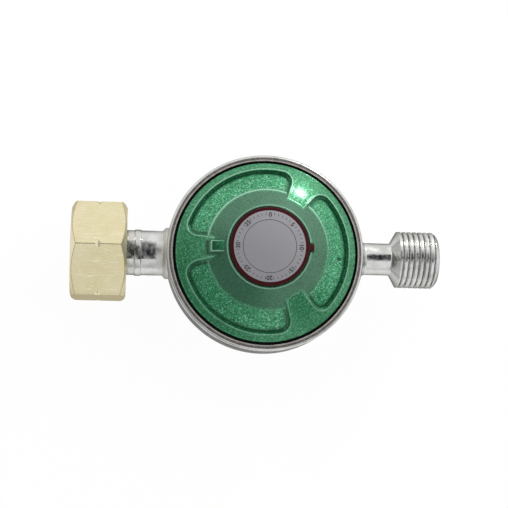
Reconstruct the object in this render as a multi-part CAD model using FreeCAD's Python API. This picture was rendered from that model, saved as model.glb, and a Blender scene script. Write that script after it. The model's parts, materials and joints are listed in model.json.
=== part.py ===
import FreeCAD, Part
import math
import os
from FreeCAD import Vector

# A fixed-setting, low-pressure gas regulator: a round die-cast casing with an inlet union at one
# side and a threaded outlet at the other, closed by a rolled-in cover that carries the spring turret.
#
# Frame, in millimetres: the origin is the centre of the inlet gasket's sealing face, +X runs along
# the pipes to the outlet, and +Z points out through the cover. The pipes' axis is the X axis.

# ---------------------------------------------------------------- driving dimensions
# Fits
RUNNING_GAP = 0.05          # radial gap of every turning or sliding fit
SEAT_GAP = 0.05             # axial gap of a loose washer beside its neighbours
FREE_GAP = 0.3              # gap between pieces that pass each other untouched

# Inlet gasket and nipple
GASKET_R = 6.8
GASKET_BORE_R = 3.6
GASKET_THICK = 1.6
GASKET_PROUD = 0.8          # how far the gasket stands out of the nipple's face
COLLAR_GAP = 0.24           # room for the collar to pass through the nut's thread
COLLAR_THICK = 2.6
COLLAR_CHAMFER = 0.4
SHANK_WALL = 1.4
SHANK_LENGTH = 8.5
SHANK_CHAMFER = 0.6
NIPPLE_BORE_R = 2.4
SEAL_WIRE_R = 0.6           # ring seal between the nipple's collar and the stub's end
FILTER_R = 3.2
FILTER_THICK = 1.8
FILTER_LIP = 1.6            # metal left between the gasket's seat and the filter's pocket

# Union nut (hexagon, left-hand thread kept as its plain minor bore)
NUT_ACROSS_FLATS = 26.0
NUT_THREAD_R = 9.74
NUT_THREAD_LENGTH = 8.6
NUT_MOUTH_CHAMFER = 1.1
NUT_RELIEF_DEPTH = 1.26
NUT_FLANGE_THICK = 2.9
NUT_FACE_INSET = 0.6        # round end faces inside the flats
NUT_CHAMFER_DEG = 30.0
NOTCH_WIDTH = 1.8           # the V cut across each corner that marks a left-hand thread
NOTCH_DEPTH = 0.75
NUT_PULL_BACK = 8.7         # how far the nut slides back along the stub
NUT_WALL_GAP = 2.2          # room then left between the nut and the casing
SLIP_RING_THICK = 0.4
SLIP_RING_INSET = 0.3

# Inlet stub
STUB_LAND = 0.45            # metal round the ring seal's groove
STUB_MOUTH_CHAMFER = 0.3
STUB_BORE_R = 3.2
STUB_FLAT_WIDTH = 5.2
STUB_FLAT_DEPTH = 0.55
STUB_FLAT_STOP = 2.7        # from the end of the flat to the casing's wall
STUB_BAND_OFFSET = 2.1      # from the nut to the raised band
STUB_BAND_WIDTH = 2.0
STUB_BAND_RISE = 0.22
ROOT_FLARE = 1.2            # flare where a stub runs into the casing

# Outlet stub
NECK_R = 4.55
NECK_LENGTH = 8.5
CONE_LENGTH = 2.0
OUTLET_THREAD_R = 8.0
OUTLET_THREAD_LENGTH = 11.4
OUTLET_CHAMFER = 1.5
OUTLET_BORE_R = 2.9

# Casing
CASING_R = 27.6
LIP_WIDTH = 1.9             # rolled lip, from the casing's side to its inner edge
LIP_THICK = 0.9
LIP_ROUND = 0.85
RIM_WALL = 1.15             # wall beside the clamped edge
SKIRT_HEIGHT = 9.2          # straight side below the lip
BASE_INSET = 4.0            # flat underside inside the casing's side
BASE_ROUND = 3.0
BASE_RING_WIDTH = 3.0       # foot ring round the sunk middle of the underside
BASE_SINK = 0.5
FLOOR_THICK = 2.4
CHAMBER_WALL = 4.8
CHAMBER_CHAMFER = 1.4
LEDGE_RISE = 0.9            # diaphragm's ledge above the valve guide

# Cover
FLANGE_THICK = 1.5
FLANGE_WIDTH = 3.0
COVER_EDGE_GAP = 0.6        # groove between the rolled lip and the cover
COVER_EDGE_RISE = 0.55      # cover's top edge above the lip
COVER_EDGE_CHAMFER = 0.3
DOME_BULGE = 0.4            # how far the dome stands above its chord
DOME_TOP_STEP = 3.25        # from the turret's top edge out to the dome
COVER_WALL = 1.3
TURRET_RISE = 10.3          # turret's rim above the lip
TURRET_HEIGHT = 5.4         # cone of the turret, down to its foot
TURRET_FLARE = 5.15         # how much the cone widens to its foot
TURRET_RIM = 0.45           # wall beside the cap
TURRET_EDGE = 0.35          # rounded edge of the rim
RECESS_EDGE = 2.4           # rim left outside the recesses
RECESS_DEPTH = 1.05
RECESS_HALF_DEG = 48.5
RECESS_CORNER_R = 3.0
RECESS_COUNT = 3
SLEEVE_WALL = 1.9           # wall of the threaded sleeve inside the turret
SLEEVE_PAST = 0.9           # how far the sleeve reaches below the screw
CAP_LEDGE = 2.1             # width of the step that the cap sits on
CAP_SEAT_DEPTH = 0.8
LUG_LENGTH = 4.2
LUG_WIDTH = 3.05
LUG_DROP = 0.7              # lug's flat top below the turret's rim
LUG_DRAFT = 0.8             # slope of its outer end
VENT_R = 0.6
VENT_BOSS_R = 1.4
VENT_BOSS_RISE = 0.25
VENT_PLACE = 0.56           # along the recess floor's slope, from its outer edge inwards
VENT_PLACE_DEG = -5.4

# Cap and label
CAP_GAP = 0.4               # groove between the cap and the turret's rim
CAP_THICK = 1.65
CAP_EDGE_CHAMFER = 0.2
CAP_SKIRT_GAP = 0.15
CAP_SKIRT_WALL = 1.0
CAP_SKIRT_LENGTH = 0.9
CAP_TAB_REACH = 1.35        # tab's end beyond the cap's edge
CAP_TAB_WIDTH = 1.7
CAP_TAB_ROUND = 0.5
CAP_TAB_GAP = 0.45          # clear slot beside the tab in the turret's rim
LABEL_INSET = 0.95
LABEL_THICK = 0.12

# Adjusting screw and main spring
SCREW_R = 9.0
SCREW_THICK = 3.0
SCREW_CLEAR = 0.7           # room for the screw to be turned up under the cap's skirt
SCREW_SLOT_WIDTH = 1.8
SCREW_SLOT_DEPTH = 1.2
SCREW_HOLE_R = 1.5
TOP_SEAT_GAP = 0.5          # between the upper seat and the sleeve's thread
TOP_SEAT_EDGE = 0.55        # upper seat's edge outside the spring
TOP_SEAT_THICK = 0.7
TOP_SEAT_SPIGOT = 0.9
TOP_SEAT_SPIGOT_WALL = 0.8
SPRING_SPIGOT_GAP = 0.45
SPRING_WIRE_R = 0.65
SPRING_TURNS = 3.5
SPRING_END_TURNS = 0.75     # closed coils at each end
SPRING_SIDES = 8            # faces round the wire
SPRING_STEPS = 16           # faces along each turn

# Diaphragm group
BEAD_THICK = 1.2
BEAD_WIDTH = 2.4
WEB_THICK = 0.6
WEB_DROP = 1.7              # how far the spring holds the middle below the clamped web
WEB_FOLD_WIDTH = 2.0
PLATE_MARGIN = 2.65         # plate's edge outside the spring
PLATE_THICK = 0.8
PLATE_RIM = 1.0
WASHER_INSET = 0.8
WASHER_THICK = 0.8
STEM_R = 2.4
STEM_SHANK_R = 1.5
STEM_NUT_ACROSS = 5.5
STEM_NUT_THICK = 1.8
STEM_POINT = 0.4
STEM_FOOT = 0.9             # metal below the lever's window
WINDOW_GAP = 0.12           # slack over and under the tilted lever in the stem's window

# Lever, bracket and valve
DIAPHRAGM_LIFT = 1.6
LEVER_LONG = 9.4            # pivot to stem
LEVER_SHORT = 3.6           # pivot to valve axis
LEVER_THICK = 1.2
LEVER_WIDTH = 3.6
LEVER_TIP_WIDTH = 1.9
LEVER_BOSS_R = 1.7
LEVER_TIP_PAST = 2.9
LEVER_HEAD = 1.4            # how far the short arm reaches past the valve axis
LEVER_BASE_GAP = 0.1
PIN_R = 0.9
PIN_END = 0.4               # how far the pin stands out of the ears
BRACKET_THICK = 0.8
BRACKET_BACK = 2.5          # base behind the pin
BRACKET_EAR_WALL = 0.35     # ear left above the pin's hole
BRACKET_EAR_LENGTH = 3.6
BRACKET_WING = 4.2
BRACKET_SCREW_R = 0.8
BRACKET_SCREW_HEAD_R = 1.5
BRACKET_SCREW_HEAD = 0.9
BRACKET_SCREW_DEPTH = 1.5
BRACKET_HOLE_END = 0.2      # blind hole left below the screw
NOZZLE_R = 2.6
NOZZLE_LENGTH = 7.5
NOZZLE_BORE_R = 1.5
NOZZLE_JET_R = 0.8
NOZZLE_JET_LENGTH = 2.2
NOZZLE_LIP_R = 1.4
NOZZLE_LIP = 0.5
NOZZLE_LIP_TAPER = 0.4
SHUT_GAP = 0.04             # left between nozzle and pad at the diaphragm's full lift
PLUNGER_R = 2.2
PLUNGER_LENGTH = 4.4
PLUNGER_RIM = 0.45          # metal round the pad
PAD_THICK = 1.3
PAD_PROUD = 0.4
PLUNGER_NOSE_R = 1.5
PLUNGER_NOSE = 1.3
PLUNGER_TIP_R = 0.4
NOSE_GAP = 0.12             # slack between the plunger's nose and the lever
GUIDE_R = 3.9
GUIDE_TOP = 3.3
GUIDE_OVERHANG = 0.7        # how much of the plunger stands out of its guide
GUIDE_WINDOW = 1.8

# ---------------------------------------------------------------- derived places
# Inlet union, along the pipes' axis
collar_r = NUT_THREAD_R - COLLAR_GAP
collar_front = GASKET_PROUD
collar_back = collar_front + COLLAR_THICK
slip_start = collar_back + SEAT_GAP
nut_flange_start = slip_start + SLIP_RING_THICK + SEAT_GAP
nut_back = nut_flange_start + NUT_FLANGE_THICK
nut_mouth = -NUT_THREAD_LENGTH
shank_r = FILTER_R + SHANK_WALL
shank_end = collar_back + SHANK_LENGTH
seal_groove_r = shank_r + RUNNING_GAP + 2 * SEAL_WIRE_R
stub_r = seal_groove_r + STUB_LAND
band_r = stub_r + STUB_BAND_RISE

# Casing and outlet, along the pipes' axis
inlet_wall_x = nut_back + NUT_PULL_BACK + NUT_WALL_GAP
body_x = inlet_wall_x + CASING_R
outlet_wall_x = body_x + CASING_R
neck_end = outlet_wall_x + NECK_LENGTH
thread_start = neck_end + CONE_LENGTH
outlet_end = thread_start + OUTLET_THREAD_LENGTH

# Heights of the casing and the cover's edge
pivot_z = -LEVER_SHORT
floor_z = pivot_z - LEVER_BOSS_R - LEVER_BASE_GAP - BRACKET_THICK
base_z = floor_z - FLOOR_THICK
ledge_z = GUIDE_TOP + LEDGE_RISE
flange_bottom = ledge_z + BEAD_THICK
flange_top = flange_bottom + FLANGE_THICK
lip_top = flange_top + LIP_THICK
edge_top = lip_top + COVER_EDGE_RISE

# Radii about the casing's upright axis
rim_inner_r = CASING_R - RIM_WALL
flange_r = rim_inner_r - RUNNING_GAP
lip_inner_r = CASING_R - LIP_WIDTH
cover_edge_r = lip_inner_r - COVER_EDGE_GAP
cover_inner_r = flange_r - FLANGE_WIDTH
recess_outer_r = cover_edge_r - RECESS_EDGE
base_r = CASING_R - BASE_INSET
chamber_r = CASING_R - CHAMBER_WALL
bead_inner_r = flange_r - BEAD_WIDTH

# Turret, cap, screw and spring
sleeve_r = SCREW_R + RUNNING_GAP
sleeve_outer_r = sleeve_r + SLEEVE_WALL
cap_seat_r = sleeve_r + CAP_LEDGE
cap_r = cap_seat_r - CAP_GAP
cap_skirt_r = sleeve_r - CAP_SKIRT_GAP
turret_r = cap_seat_r + TURRET_RIM
turret_top = lip_top + TURRET_RISE
turret_foot_r = turret_r + TURRET_FLARE
turret_slope = TURRET_HEIGHT / TURRET_FLARE
dome_top_r = turret_r + DOME_TOP_STEP
cap_seat_z = turret_top - CAP_SEAT_DEPTH
cap_top = cap_seat_z + CAP_THICK
screw_top = cap_seat_z - CAP_SKIRT_LENGTH - SCREW_CLEAR
screw_bottom = screw_top - SCREW_THICK
sleeve_bottom = screw_bottom - SLEEVE_PAST
top_seat_bottom = screw_bottom - TOP_SEAT_THICK
top_seat_r = SCREW_R - TOP_SEAT_GAP
spring_mean_r = top_seat_r - TOP_SEAT_EDGE - SPRING_WIRE_R

# Diaphragm group
web_bottom = ledge_z + (BEAD_THICK - WEB_THICK) / 2
disc_bottom = web_bottom - WEB_DROP
disc_top = disc_bottom + WEB_THICK
plate_top = disc_top + PLATE_THICK
plate_r = spring_mean_r + SPRING_WIRE_R + PLATE_MARGIN
washer_bottom = disc_bottom - WASHER_THICK
washer_r = plate_r - WASHER_INSET
shank_hole_r = STEM_SHANK_R + RUNNING_GAP

# Lever, bracket and valve
pivot_x = body_x - LEVER_LONG
lever_angle = DIAPHRAGM_LIFT / LEVER_LONG
lever_face = pivot_x - LEVER_THICK / 2
window_half = LEVER_THICK / 2 / math.cos(lever_angle) + STEM_R * math.tan(lever_angle) + WINDOW_GAP
valve_open = DIAPHRAGM_LIFT * LEVER_SHORT / LEVER_LONG + SHUT_GAP
nose_x = lever_face - NOSE_GAP
plunger_back = nose_x - PLUNGER_NOSE
plunger_front = plunger_back - PLUNGER_LENGTH
pad_r = PLUNGER_R - PLUNGER_RIM
pad_front = plunger_front - PAD_PROUD
guide_end = plunger_back - GUIDE_OVERHANG
nozzle_front = pad_front - valve_open
nozzle_back = nozzle_front - NOZZLE_LENGTH
ear_inner = LEVER_WIDTH / 2 + 2 * RUNNING_GAP
ear_outer = ear_inner + BRACKET_THICK
wing_end = ear_outer + BRACKET_WING
bracket_screw_y = (ear_outer + wing_end) / 2


# ---------------------------------------------------------------- helpers
def edges_along(points):
    """Straight edges between points; a (middle, end) pair of points is an arc."""
    edges = []
    here = points[0]
    for step in points[1:]:
        if isinstance(step, tuple):
            edges.append(Part.Arc(here, step[0], step[1]).toShape())
            here = step[1]
        else:
            edges.append(Part.LineSegment(here, step).toShape())
            here = step
    return edges


def turned(place, axis_at, axis, outline, angle=360):
    """Solid turned about an axis from a closed outline of (a, b) pairs, or pairs of them for arcs."""
    points = []
    for step in list(outline) + [outline[0]]:
        if isinstance(step[0], tuple):
            points.append((place(*step[0]), place(*step[1])))
        else:
            points.append(place(*step))
    face = Part.Face(Part.Wire(edges_along(points)))
    solid = face.revolve(axis_at, axis, angle)
    solid.fix(1e-4, 1e-4, 1e-4)
    return solid if solid.Volume > 0 else solid.reversed()


def turned_z(outline):
    """Turned about the casing's upright axis from (radius, height) pairs."""
    return turned(lambda r, z: Vector(body_x + r, 0, z), Vector(body_x, 0, 0), Vector(0, 0, 1), outline)


def turned_x(outline):
    """Turned about the pipes' axis from (x, radius) pairs."""
    return turned(lambda x, r: Vector(x, 0, r), Vector(0, 0, 0), Vector(1, 0, 0), outline)


def rod_x(start, end, radius, y=0, z=0):
    return Part.makeCylinder(radius, end - start, Vector(start, y, z), Vector(1, 0, 0))


def rod_y(x, z, half, radius):
    return Part.makeCylinder(radius, 2 * half, Vector(x, -half, z), Vector(0, 1, 0))


def rod_z(x, y, bottom, top, radius):
    return Part.makeCylinder(radius, top - bottom, Vector(x, y, bottom), Vector(0, 0, 1))


def block(x0, x1, y0, y1, z0, z1):
    return Part.makeBox(x1 - x0, y1 - y0, z1 - z0, Vector(x0, y0, z0))


def hexagon(across, centre, axis, length, first):
    """Hexagonal bar; first is a unit vector towards one of its corners."""
    radius = across / math.sqrt(3)
    corners = []
    for i in range(7):
        turn = FreeCAD.Rotation(axis, 60 * i)
        corners.append(centre + turn.multVec(first) * radius)
    return Part.Face(Part.makePolygon(corners)).extrude(axis * length)


def bulged(start, end, bulge):
    """Middle point of an arc that stands up from the chord between two (radius, height) pairs."""
    across, along = end[0] - start[0], end[1] - start[1]
    chord = math.hypot(across, along)
    return ((start[0] + end[0]) / 2 + along / chord * bulge,
            (start[1] + end[1]) / 2 - across / chord * bulge)


def bite(size):
    """How far the middle of a quarter round of this radius lies inside its corner.

    Rounds that run right round the regulator are cut as two chamfers that meet there, which keeps
    their faces flat along the outline."""
    return size * (1 - math.sqrt(0.5))


def write(node, shape):
    """One STEP per node, of closed solids only."""
    solids = shape.Solids
    shape = solids[0] if len(solids) == 1 else Part.makeCompound(solids)
    shape.exportStep("parts/" + node + ".step")


# ---------------------------------------------------------------- inlet union
def inlet_gasket():
    ring = rod_x(0, GASKET_THICK, GASKET_R)
    return ring.cut(rod_x(0, GASKET_THICK, GASKET_BORE_R))


def inlet_nipple():
    """Collar, with the gasket's seat in its face, and shank that screws into the stub."""
    seat_x = GASKET_THICK
    filter_x = seat_x + FILTER_LIP
    return turned_x([
        (collar_front, GASKET_R + RUNNING_GAP),
        (collar_front, collar_r - COLLAR_CHAMFER),
        (collar_front + COLLAR_CHAMFER, collar_r),
        (collar_back, collar_r),
        (collar_back, shank_r),
        (shank_end - SHANK_CHAMFER, shank_r),
        (shank_end, shank_r - SHANK_CHAMFER),
        (shank_end, FILTER_R),
        (filter_x, FILTER_R),
        (filter_x, NIPPLE_BORE_R),
        (seat_x, NIPPLE_BORE_R),
        (seat_x, GASKET_R + RUNNING_GAP)])


def inlet_filter():
    filter_x = GASKET_THICK + FILTER_LIP
    return rod_x(filter_x, filter_x + FILTER_THICK, FILTER_R - RUNNING_GAP)


def nipple_seal():
    """Ring seal squeezed in the groove at the mouth of the stub."""
    middle_x = collar_back + SEAL_WIRE_R
    middle_r = shank_r + RUNNING_GAP + SEAL_WIRE_R
    corner = SEAL_WIRE_R * math.tan(math.pi / 8)
    outline = []
    for along, out in ((-1, 1), (1, 1), (1, -1), (-1, -1)):
        near = (middle_x + along * SEAL_WIRE_R, middle_r + out * corner)
        far = (middle_x + along * corner, middle_r + out * SEAL_WIRE_R)
        outline += [near, far] if along * out < 0 else [far, near]
    return turned_x(outline)


def slip_ring():
    """Thin friction ring that lets the nut turn against the collar."""
    end = slip_start + SLIP_RING_THICK
    ring = rod_x(slip_start, end, collar_r - SLIP_RING_INSET)
    return ring.cut(rod_x(slip_start, end, band_r + 2 * RUNNING_GAP))


def corner_notch(corner_r):
    """V-shaped cutter across the nut's upper corner, half way along it."""
    middle = (nut_mouth + nut_back) / 2
    over = 1 + 1 / NOTCH_DEPTH
    half = NOTCH_WIDTH / 2 * over
    tip_z = corner_r - NOTCH_DEPTH
    top_z = tip_z + NOTCH_DEPTH * over
    outline = [Vector(middle - half, -corner_r / 2, top_z),
               Vector(middle, -corner_r / 2, tip_z),
               Vector(middle + half, -corner_r / 2, top_z)]
    return Part.Face(Part.makePolygon(outline + outline[:1])).extrude(Vector(0, corner_r, 0))


def union_nut():
    length = nut_back - nut_mouth
    bar = hexagon(NUT_ACROSS_FLATS, Vector(nut_mouth, 0, 0), Vector(1, 0, 0), length, Vector(0, 0, 1))
    corner_r = NUT_ACROSS_FLATS / math.sqrt(3)
    face_r = NUT_ACROSS_FLATS / 2 - NUT_FACE_INSET
    outside_r = corner_r + 1
    run = (outside_r - face_r) * math.tan(math.radians(NUT_CHAMFER_DEG))
    chamfered = turned_x([
        (nut_mouth, 0),
        (nut_mouth, face_r),
        (nut_mouth + run, outside_r),
        (nut_back - run, outside_r),
        (nut_back, face_r),
        (nut_back, 0)])
    relief_r = NUT_THREAD_R + NUT_RELIEF_DEPTH
    hollow = turned_x([
        (nut_mouth, 0),
        (nut_mouth, NUT_THREAD_R + NUT_MOUTH_CHAMFER),
        (nut_mouth + NUT_MOUTH_CHAMFER, NUT_THREAD_R),
        (0, NUT_THREAD_R),
        (0, relief_r),
        (nut_flange_start, relief_r),
        (nut_flange_start, band_r + RUNNING_GAP),
        (nut_back, band_r + RUNNING_GAP),
        (nut_back, 0)])
    nut = bar.common(chamfered).cut(hollow)
    for i in range(6):
        notch = corner_notch(corner_r)
        notch.rotate(Vector(0, 0, 0), Vector(1, 0, 0), 60 * i)
        nut = nut.cut(notch)
    return nut


# ---------------------------------------------------------------- casing
def casing_bowl():
    skirt_z = lip_top - SKIRT_HEIGHT
    ring_in = base_r - BASE_RING_WIDTH
    return turned_z([
        (0, floor_z),
        (chamber_r - CHAMBER_CHAMFER, floor_z),
        (chamber_r, floor_z + CHAMBER_CHAMFER),
        (chamber_r, ledge_z),
        (rim_inner_r, ledge_z),
        (rim_inner_r, flange_top),
        (lip_inner_r, flange_top),
        (lip_inner_r, lip_top),
        (CASING_R - LIP_ROUND, lip_top),
        (CASING_R - bite(LIP_ROUND), lip_top - bite(LIP_ROUND)),
        (CASING_R, lip_top - LIP_ROUND),
        (CASING_R, skirt_z),
        (base_r + BASE_ROUND, base_z + BASE_ROUND),
        (base_r + BASE_ROUND - bite(BASE_ROUND), base_z + bite(BASE_ROUND)),
        (base_r, base_z),
        (ring_in, base_z),
        (ring_in - BASE_SINK, base_z + BASE_SINK),
        (0, base_z + BASE_SINK)])


def clamped_space():
    """The room inside the rim, above the ledge, that the cover and diaphragm fill."""
    return rod_z(body_x, 0, ledge_z, lip_top + ROOT_FLARE, rim_inner_r)


def root_end(wall_x, side):
    """Where a stub ends inside the casing's wall."""
    return wall_x + side * CHAMBER_WALL / 2


def inlet_stub():
    band_start = nut_back + STUB_BAND_OFFSET
    band_end = band_start + STUB_BAND_WIDTH
    tube = turned_x([
        (collar_back, 0),
        (collar_back, stub_r - STUB_MOUTH_CHAMFER),
        (collar_back + STUB_MOUTH_CHAMFER, stub_r),
        (band_start, stub_r),
        (band_start + STUB_BAND_RISE, band_r),
        (band_end - STUB_BAND_RISE, band_r),
        (band_end, stub_r),
        (inlet_wall_x - ROOT_FLARE, stub_r),
        (inlet_wall_x, stub_r + ROOT_FLARE),
        (root_end(inlet_wall_x, 1), stub_r + ROOT_FLARE),
        (root_end(inlet_wall_x, 1), 0)])
    flat = block(nut_flange_start, inlet_wall_x - STUB_FLAT_STOP, -STUB_FLAT_WIDTH / 2, STUB_FLAT_WIDTH / 2,
                 stub_r - STUB_FLAT_DEPTH, stub_r + 2)
    return tube.cut([flat, clamped_space()])


def outlet_stub():
    neck = turned_x([
        (root_end(outlet_wall_x, -1), 0),
        (root_end(outlet_wall_x, -1), NECK_R + ROOT_FLARE),
        (outlet_wall_x, NECK_R + ROOT_FLARE),
        (outlet_wall_x + ROOT_FLARE, NECK_R),
        (neck_end, NECK_R),
        (thread_start, OUTLET_THREAD_R),
        (outlet_end - OUTLET_CHAMFER, OUTLET_THREAD_R),
        (outlet_end, OUTLET_THREAD_R - OUTLET_CHAMFER),
        (outlet_end, 0)])
    return neck.cut(clamped_space())


def valve_guide():
    """The cast block inside the chamber that holds the nozzle and guides the plunger."""
    start = body_x - chamber_r - 1
    round_part = rod_x(start, guide_end, GUIDE_R)
    foot = block(start, guide_end, -GUIDE_R, GUIDE_R, floor_z - 0.5, 0)
    top = block(start - 1, guide_end + 1, -GUIDE_R - 1, GUIDE_R + 1, GUIDE_TOP, GUIDE_R + 1)
    return round_part.fuse(foot).cut(top)


def casing():
    """One casting: bowl, both stubs and the valve guide, with its passages drilled."""
    solid = casing_bowl().fuse([inlet_stub(), outlet_stub(), valve_guide()])
    groove_end = collar_back + 2 * SEAL_WIRE_R
    shank_hole_end = shank_end + FREE_GAP
    bore = turned_x([
        (collar_back - 1, 0),
        (collar_back - 1, seal_groove_r),
        (groove_end, seal_groove_r),
        (groove_end, shank_r + RUNNING_GAP),
        (shank_hole_end, shank_r + RUNNING_GAP),
        (shank_hole_end, STUB_BORE_R),
        (nozzle_back, STUB_BORE_R),
        (nozzle_back, NOZZLE_R + RUNNING_GAP),
        (nozzle_front - NOZZLE_LIP, NOZZLE_R + RUNNING_GAP),
        (nozzle_front - NOZZLE_LIP, PLUNGER_R + RUNNING_GAP),
        (guide_end + 1, PLUNGER_R + RUNNING_GAP),
        (guide_end + 1, 0)])
    window_half_z = PLUNGER_R * math.sqrt(0.5)
    window = block(nozzle_front, nozzle_front + GUIDE_WINDOW, -GUIDE_R - 1, GUIDE_R + 1,
                   -window_half_z, window_half_z)
    outlet = rod_x(body_x + chamber_r - OUTLET_BORE_R, outlet_end + 1, OUTLET_BORE_R)
    solid = solid.cut([bore, window, outlet])
    for side in (-1, 1):
        hole = rod_z(pivot_x, side * bracket_screw_y, floor_z - BRACKET_SCREW_DEPTH - BRACKET_HOLE_END,
                     floor_z + 1, BRACKET_SCREW_R + RUNNING_GAP)
        solid = solid.cut(hole)
    return solid.removeSplitter()


# ---------------------------------------------------------------- cover
def dome_outline(drop=0.0):
    """Edge, middle and top of the dome, lowered by drop, as (radius, height) pairs."""
    edge = (cover_edge_r - COVER_EDGE_CHAMFER, edge_top - drop)
    top = (dome_top_r, turret_top - DOME_TOP_STEP * turret_slope - drop)
    return edge, bulged(edge, top, DOME_BULGE), top


def recess_floor():
    """Edge and top of a recess floor, which rises straight to the turret's foot."""
    edge = (cover_edge_r - COVER_EDGE_CHAMFER, edge_top - RECESS_DEPTH)
    foot = (turret_foot_r, turret_top - TURRET_HEIGHT)
    return edge, foot


def cover_shell():
    edge, middle, top = dome_outline()
    inner_edge, inner_middle, inner_top = dome_outline(RECESS_DEPTH + COVER_WALL)
    roof_foot_r = inner_top[0] - COVER_WALL
    roof_r = sleeve_outer_r + COVER_WALL / 2
    roof_z = inner_top[1] + (roof_foot_r - roof_r) * turret_slope
    return turned_z([
        (cover_inner_r, flange_bottom),
        (flange_r, flange_bottom),
        (flange_r, flange_top),
        (cover_edge_r, flange_top),
        (cover_edge_r, edge_top - COVER_EDGE_CHAMFER),
        edge,
        (middle, top),
        (turret_r + TURRET_EDGE, turret_top - TURRET_EDGE * turret_slope),
        (turret_r - bite(TURRET_EDGE), turret_top),
        (cap_seat_r, turret_top),
        (cap_seat_r, cap_seat_z),
        (sleeve_r, cap_seat_z),
        (sleeve_r, sleeve_bottom),
        (sleeve_outer_r, sleeve_bottom),
        (sleeve_outer_r, roof_z),
        (roof_r, roof_z),
        (roof_foot_r, inner_top[1]),
        inner_middle,
        (cover_inner_r, inner_edge[1] + COVER_WALL * turret_slope)])


def recess_tool():
    """Everything above the sunk floor, within one kidney-shaped outline centred on +X."""
    edge, foot = recess_floor()
    ceiling = turret_top + 2
    above = turned_z([
        (edge[0] + 1, edge[1]),
        edge,
        foot,
        (turret_r + 1, turret_top - turret_slope),
        (turret_r + 1, ceiling),
        (edge[0] + 1, ceiling)])
    half = math.radians(RECESS_HALF_DEG)

    def at(radius, angle):
        return Vector(body_x + radius * math.cos(angle), radius * math.sin(angle), lip_top - 2)

    outline = edges_along([
        at(turret_r, -half),
        at(recess_outer_r, -half),
        (at(recess_outer_r, 0), at(recess_outer_r, half)),
        at(turret_r, half),
        (at(turret_r, 0), at(turret_r, -half))])
    prism = Part.Face(Part.Wire(outline)).extrude(Vector(0, 0, ceiling - lip_top + 2))
    corners = []
    for edge in prism.Edges:
        if len(edge.Vertexes) == 2:
            low, high = edge.Vertexes[0].Point, edge.Vertexes[1].Point
            upright = math.hypot(low.x - high.x, low.y - high.y) < 1e-6
            far = math.hypot(low.x - body_x, low.y) > recess_outer_r - 0.1
            if upright and far:
                corners.append(edge)
    return prism.makeFillet(RECESS_CORNER_R, corners).common(above)


def lug():
    """Square-ended stop on the turret, opposite the cap's tab."""
    low = turret_top - TURRET_HEIGHT - COVER_WALL / 2
    high = turret_top - LUG_DROP
    root_x = body_x - turret_r
    outline = [Vector(root_x, -LUG_WIDTH / 2, low),
               Vector(root_x - LUG_LENGTH - LUG_DRAFT, -LUG_WIDTH / 2, low),
               Vector(root_x - LUG_LENGTH, -LUG_WIDTH / 2, high),
               Vector(root_x, -LUG_WIDTH / 2, high)]
    return Part.Face(Part.makePolygon(outline + outline[:1])).extrude(Vector(0, LUG_WIDTH, 0))


def vent_axis():
    """Foot and direction of the breather hole, square to the recess floor."""
    edge, foot = recess_floor()
    slope = Vector(foot[0] - edge[0], 0, foot[1] - edge[1])
    place = Vector(edge[0], 0, edge[1]) + slope * VENT_PLACE
    normal = Vector(slope.z, 0, -slope.x).normalize()
    swing = FreeCAD.Rotation(Vector(0, 0, 1), VENT_PLACE_DEG)
    return swing.multVec(place) + Vector(body_x, 0, 0), swing.multVec(normal)


def cover():
    solid = cover_shell()
    for i in range(RECESS_COUNT):
        recess = recess_tool()
        recess.rotate(Vector(body_x, 0, 0), Vector(0, 0, 1), 360 / RECESS_COUNT * i)
        solid = solid.cut(recess)
    foot, normal = vent_axis()
    boss_root = COVER_WALL / 2
    boss = Part.makeCylinder(VENT_BOSS_R, VENT_BOSS_RISE + boss_root, foot - normal * boss_root, normal)
    through = RECESS_DEPTH + COVER_WALL
    hole = Part.makeCylinder(VENT_R, 2 * through, foot - normal * through, normal)
    slot_half = CAP_TAB_WIDTH / 2 + CAP_TAB_GAP
    slot = block(body_x + cap_r, body_x + turret_r + 2, -slot_half, slot_half, cap_seat_z, turret_top + 1)
    return solid.fuse([lug(), boss]).cut([hole, slot]).removeSplitter()


def cap():
    """Pressed-in closing cap with the tab that it is prised up by."""
    skirt_inner_r = cap_skirt_r - CAP_SKIRT_WALL
    skirt_bottom = cap_seat_z - CAP_SKIRT_LENGTH
    disc = turned_z([
        (0, cap_seat_z),
        (skirt_inner_r, cap_seat_z),
        (skirt_inner_r, skirt_bottom),
        (cap_skirt_r, skirt_bottom),
        (cap_skirt_r, cap_seat_z),
        (cap_r, cap_seat_z),
        (cap_r, cap_top - CAP_EDGE_CHAMFER),
        (cap_r - CAP_EDGE_CHAMFER, cap_top),
        (0, cap_top)])
    half = CAP_TAB_WIDTH / 2
    tab_end = body_x + cap_r + CAP_TAB_REACH
    tab = block(body_x + cap_skirt_r, tab_end, -half, half, cap_seat_z, cap_top)
    corners = []
    for edge in tab.Edges:
        low, high = edge.Vertexes[0].Point, edge.Vertexes[1].Point
        if min(low.x, high.x) > tab_end - 1e-6 and abs(low.z - high.z) > 1e-6:
            corners.append(edge)
    return disc.fuse(tab.makeFillet(CAP_TAB_ROUND, corners)).removeSplitter()


def label():
    return rod_z(body_x, 0, cap_top, cap_top + LABEL_THICK, cap_r - LABEL_INSET)


# ---------------------------------------------------------------- setting group
def adjusting_screw():
    disc = rod_z(body_x, 0, screw_bottom, screw_top, SCREW_R)
    slot = block(body_x - SCREW_R - 1, body_x + SCREW_R + 1, -SCREW_SLOT_WIDTH / 2, SCREW_SLOT_WIDTH / 2,
                 screw_top - SCREW_SLOT_DEPTH, screw_top + 1)
    hole = rod_z(body_x, 0, screw_bottom - 1, screw_top + 1, SCREW_HOLE_R)
    return disc.cut([slot, hole])


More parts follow.
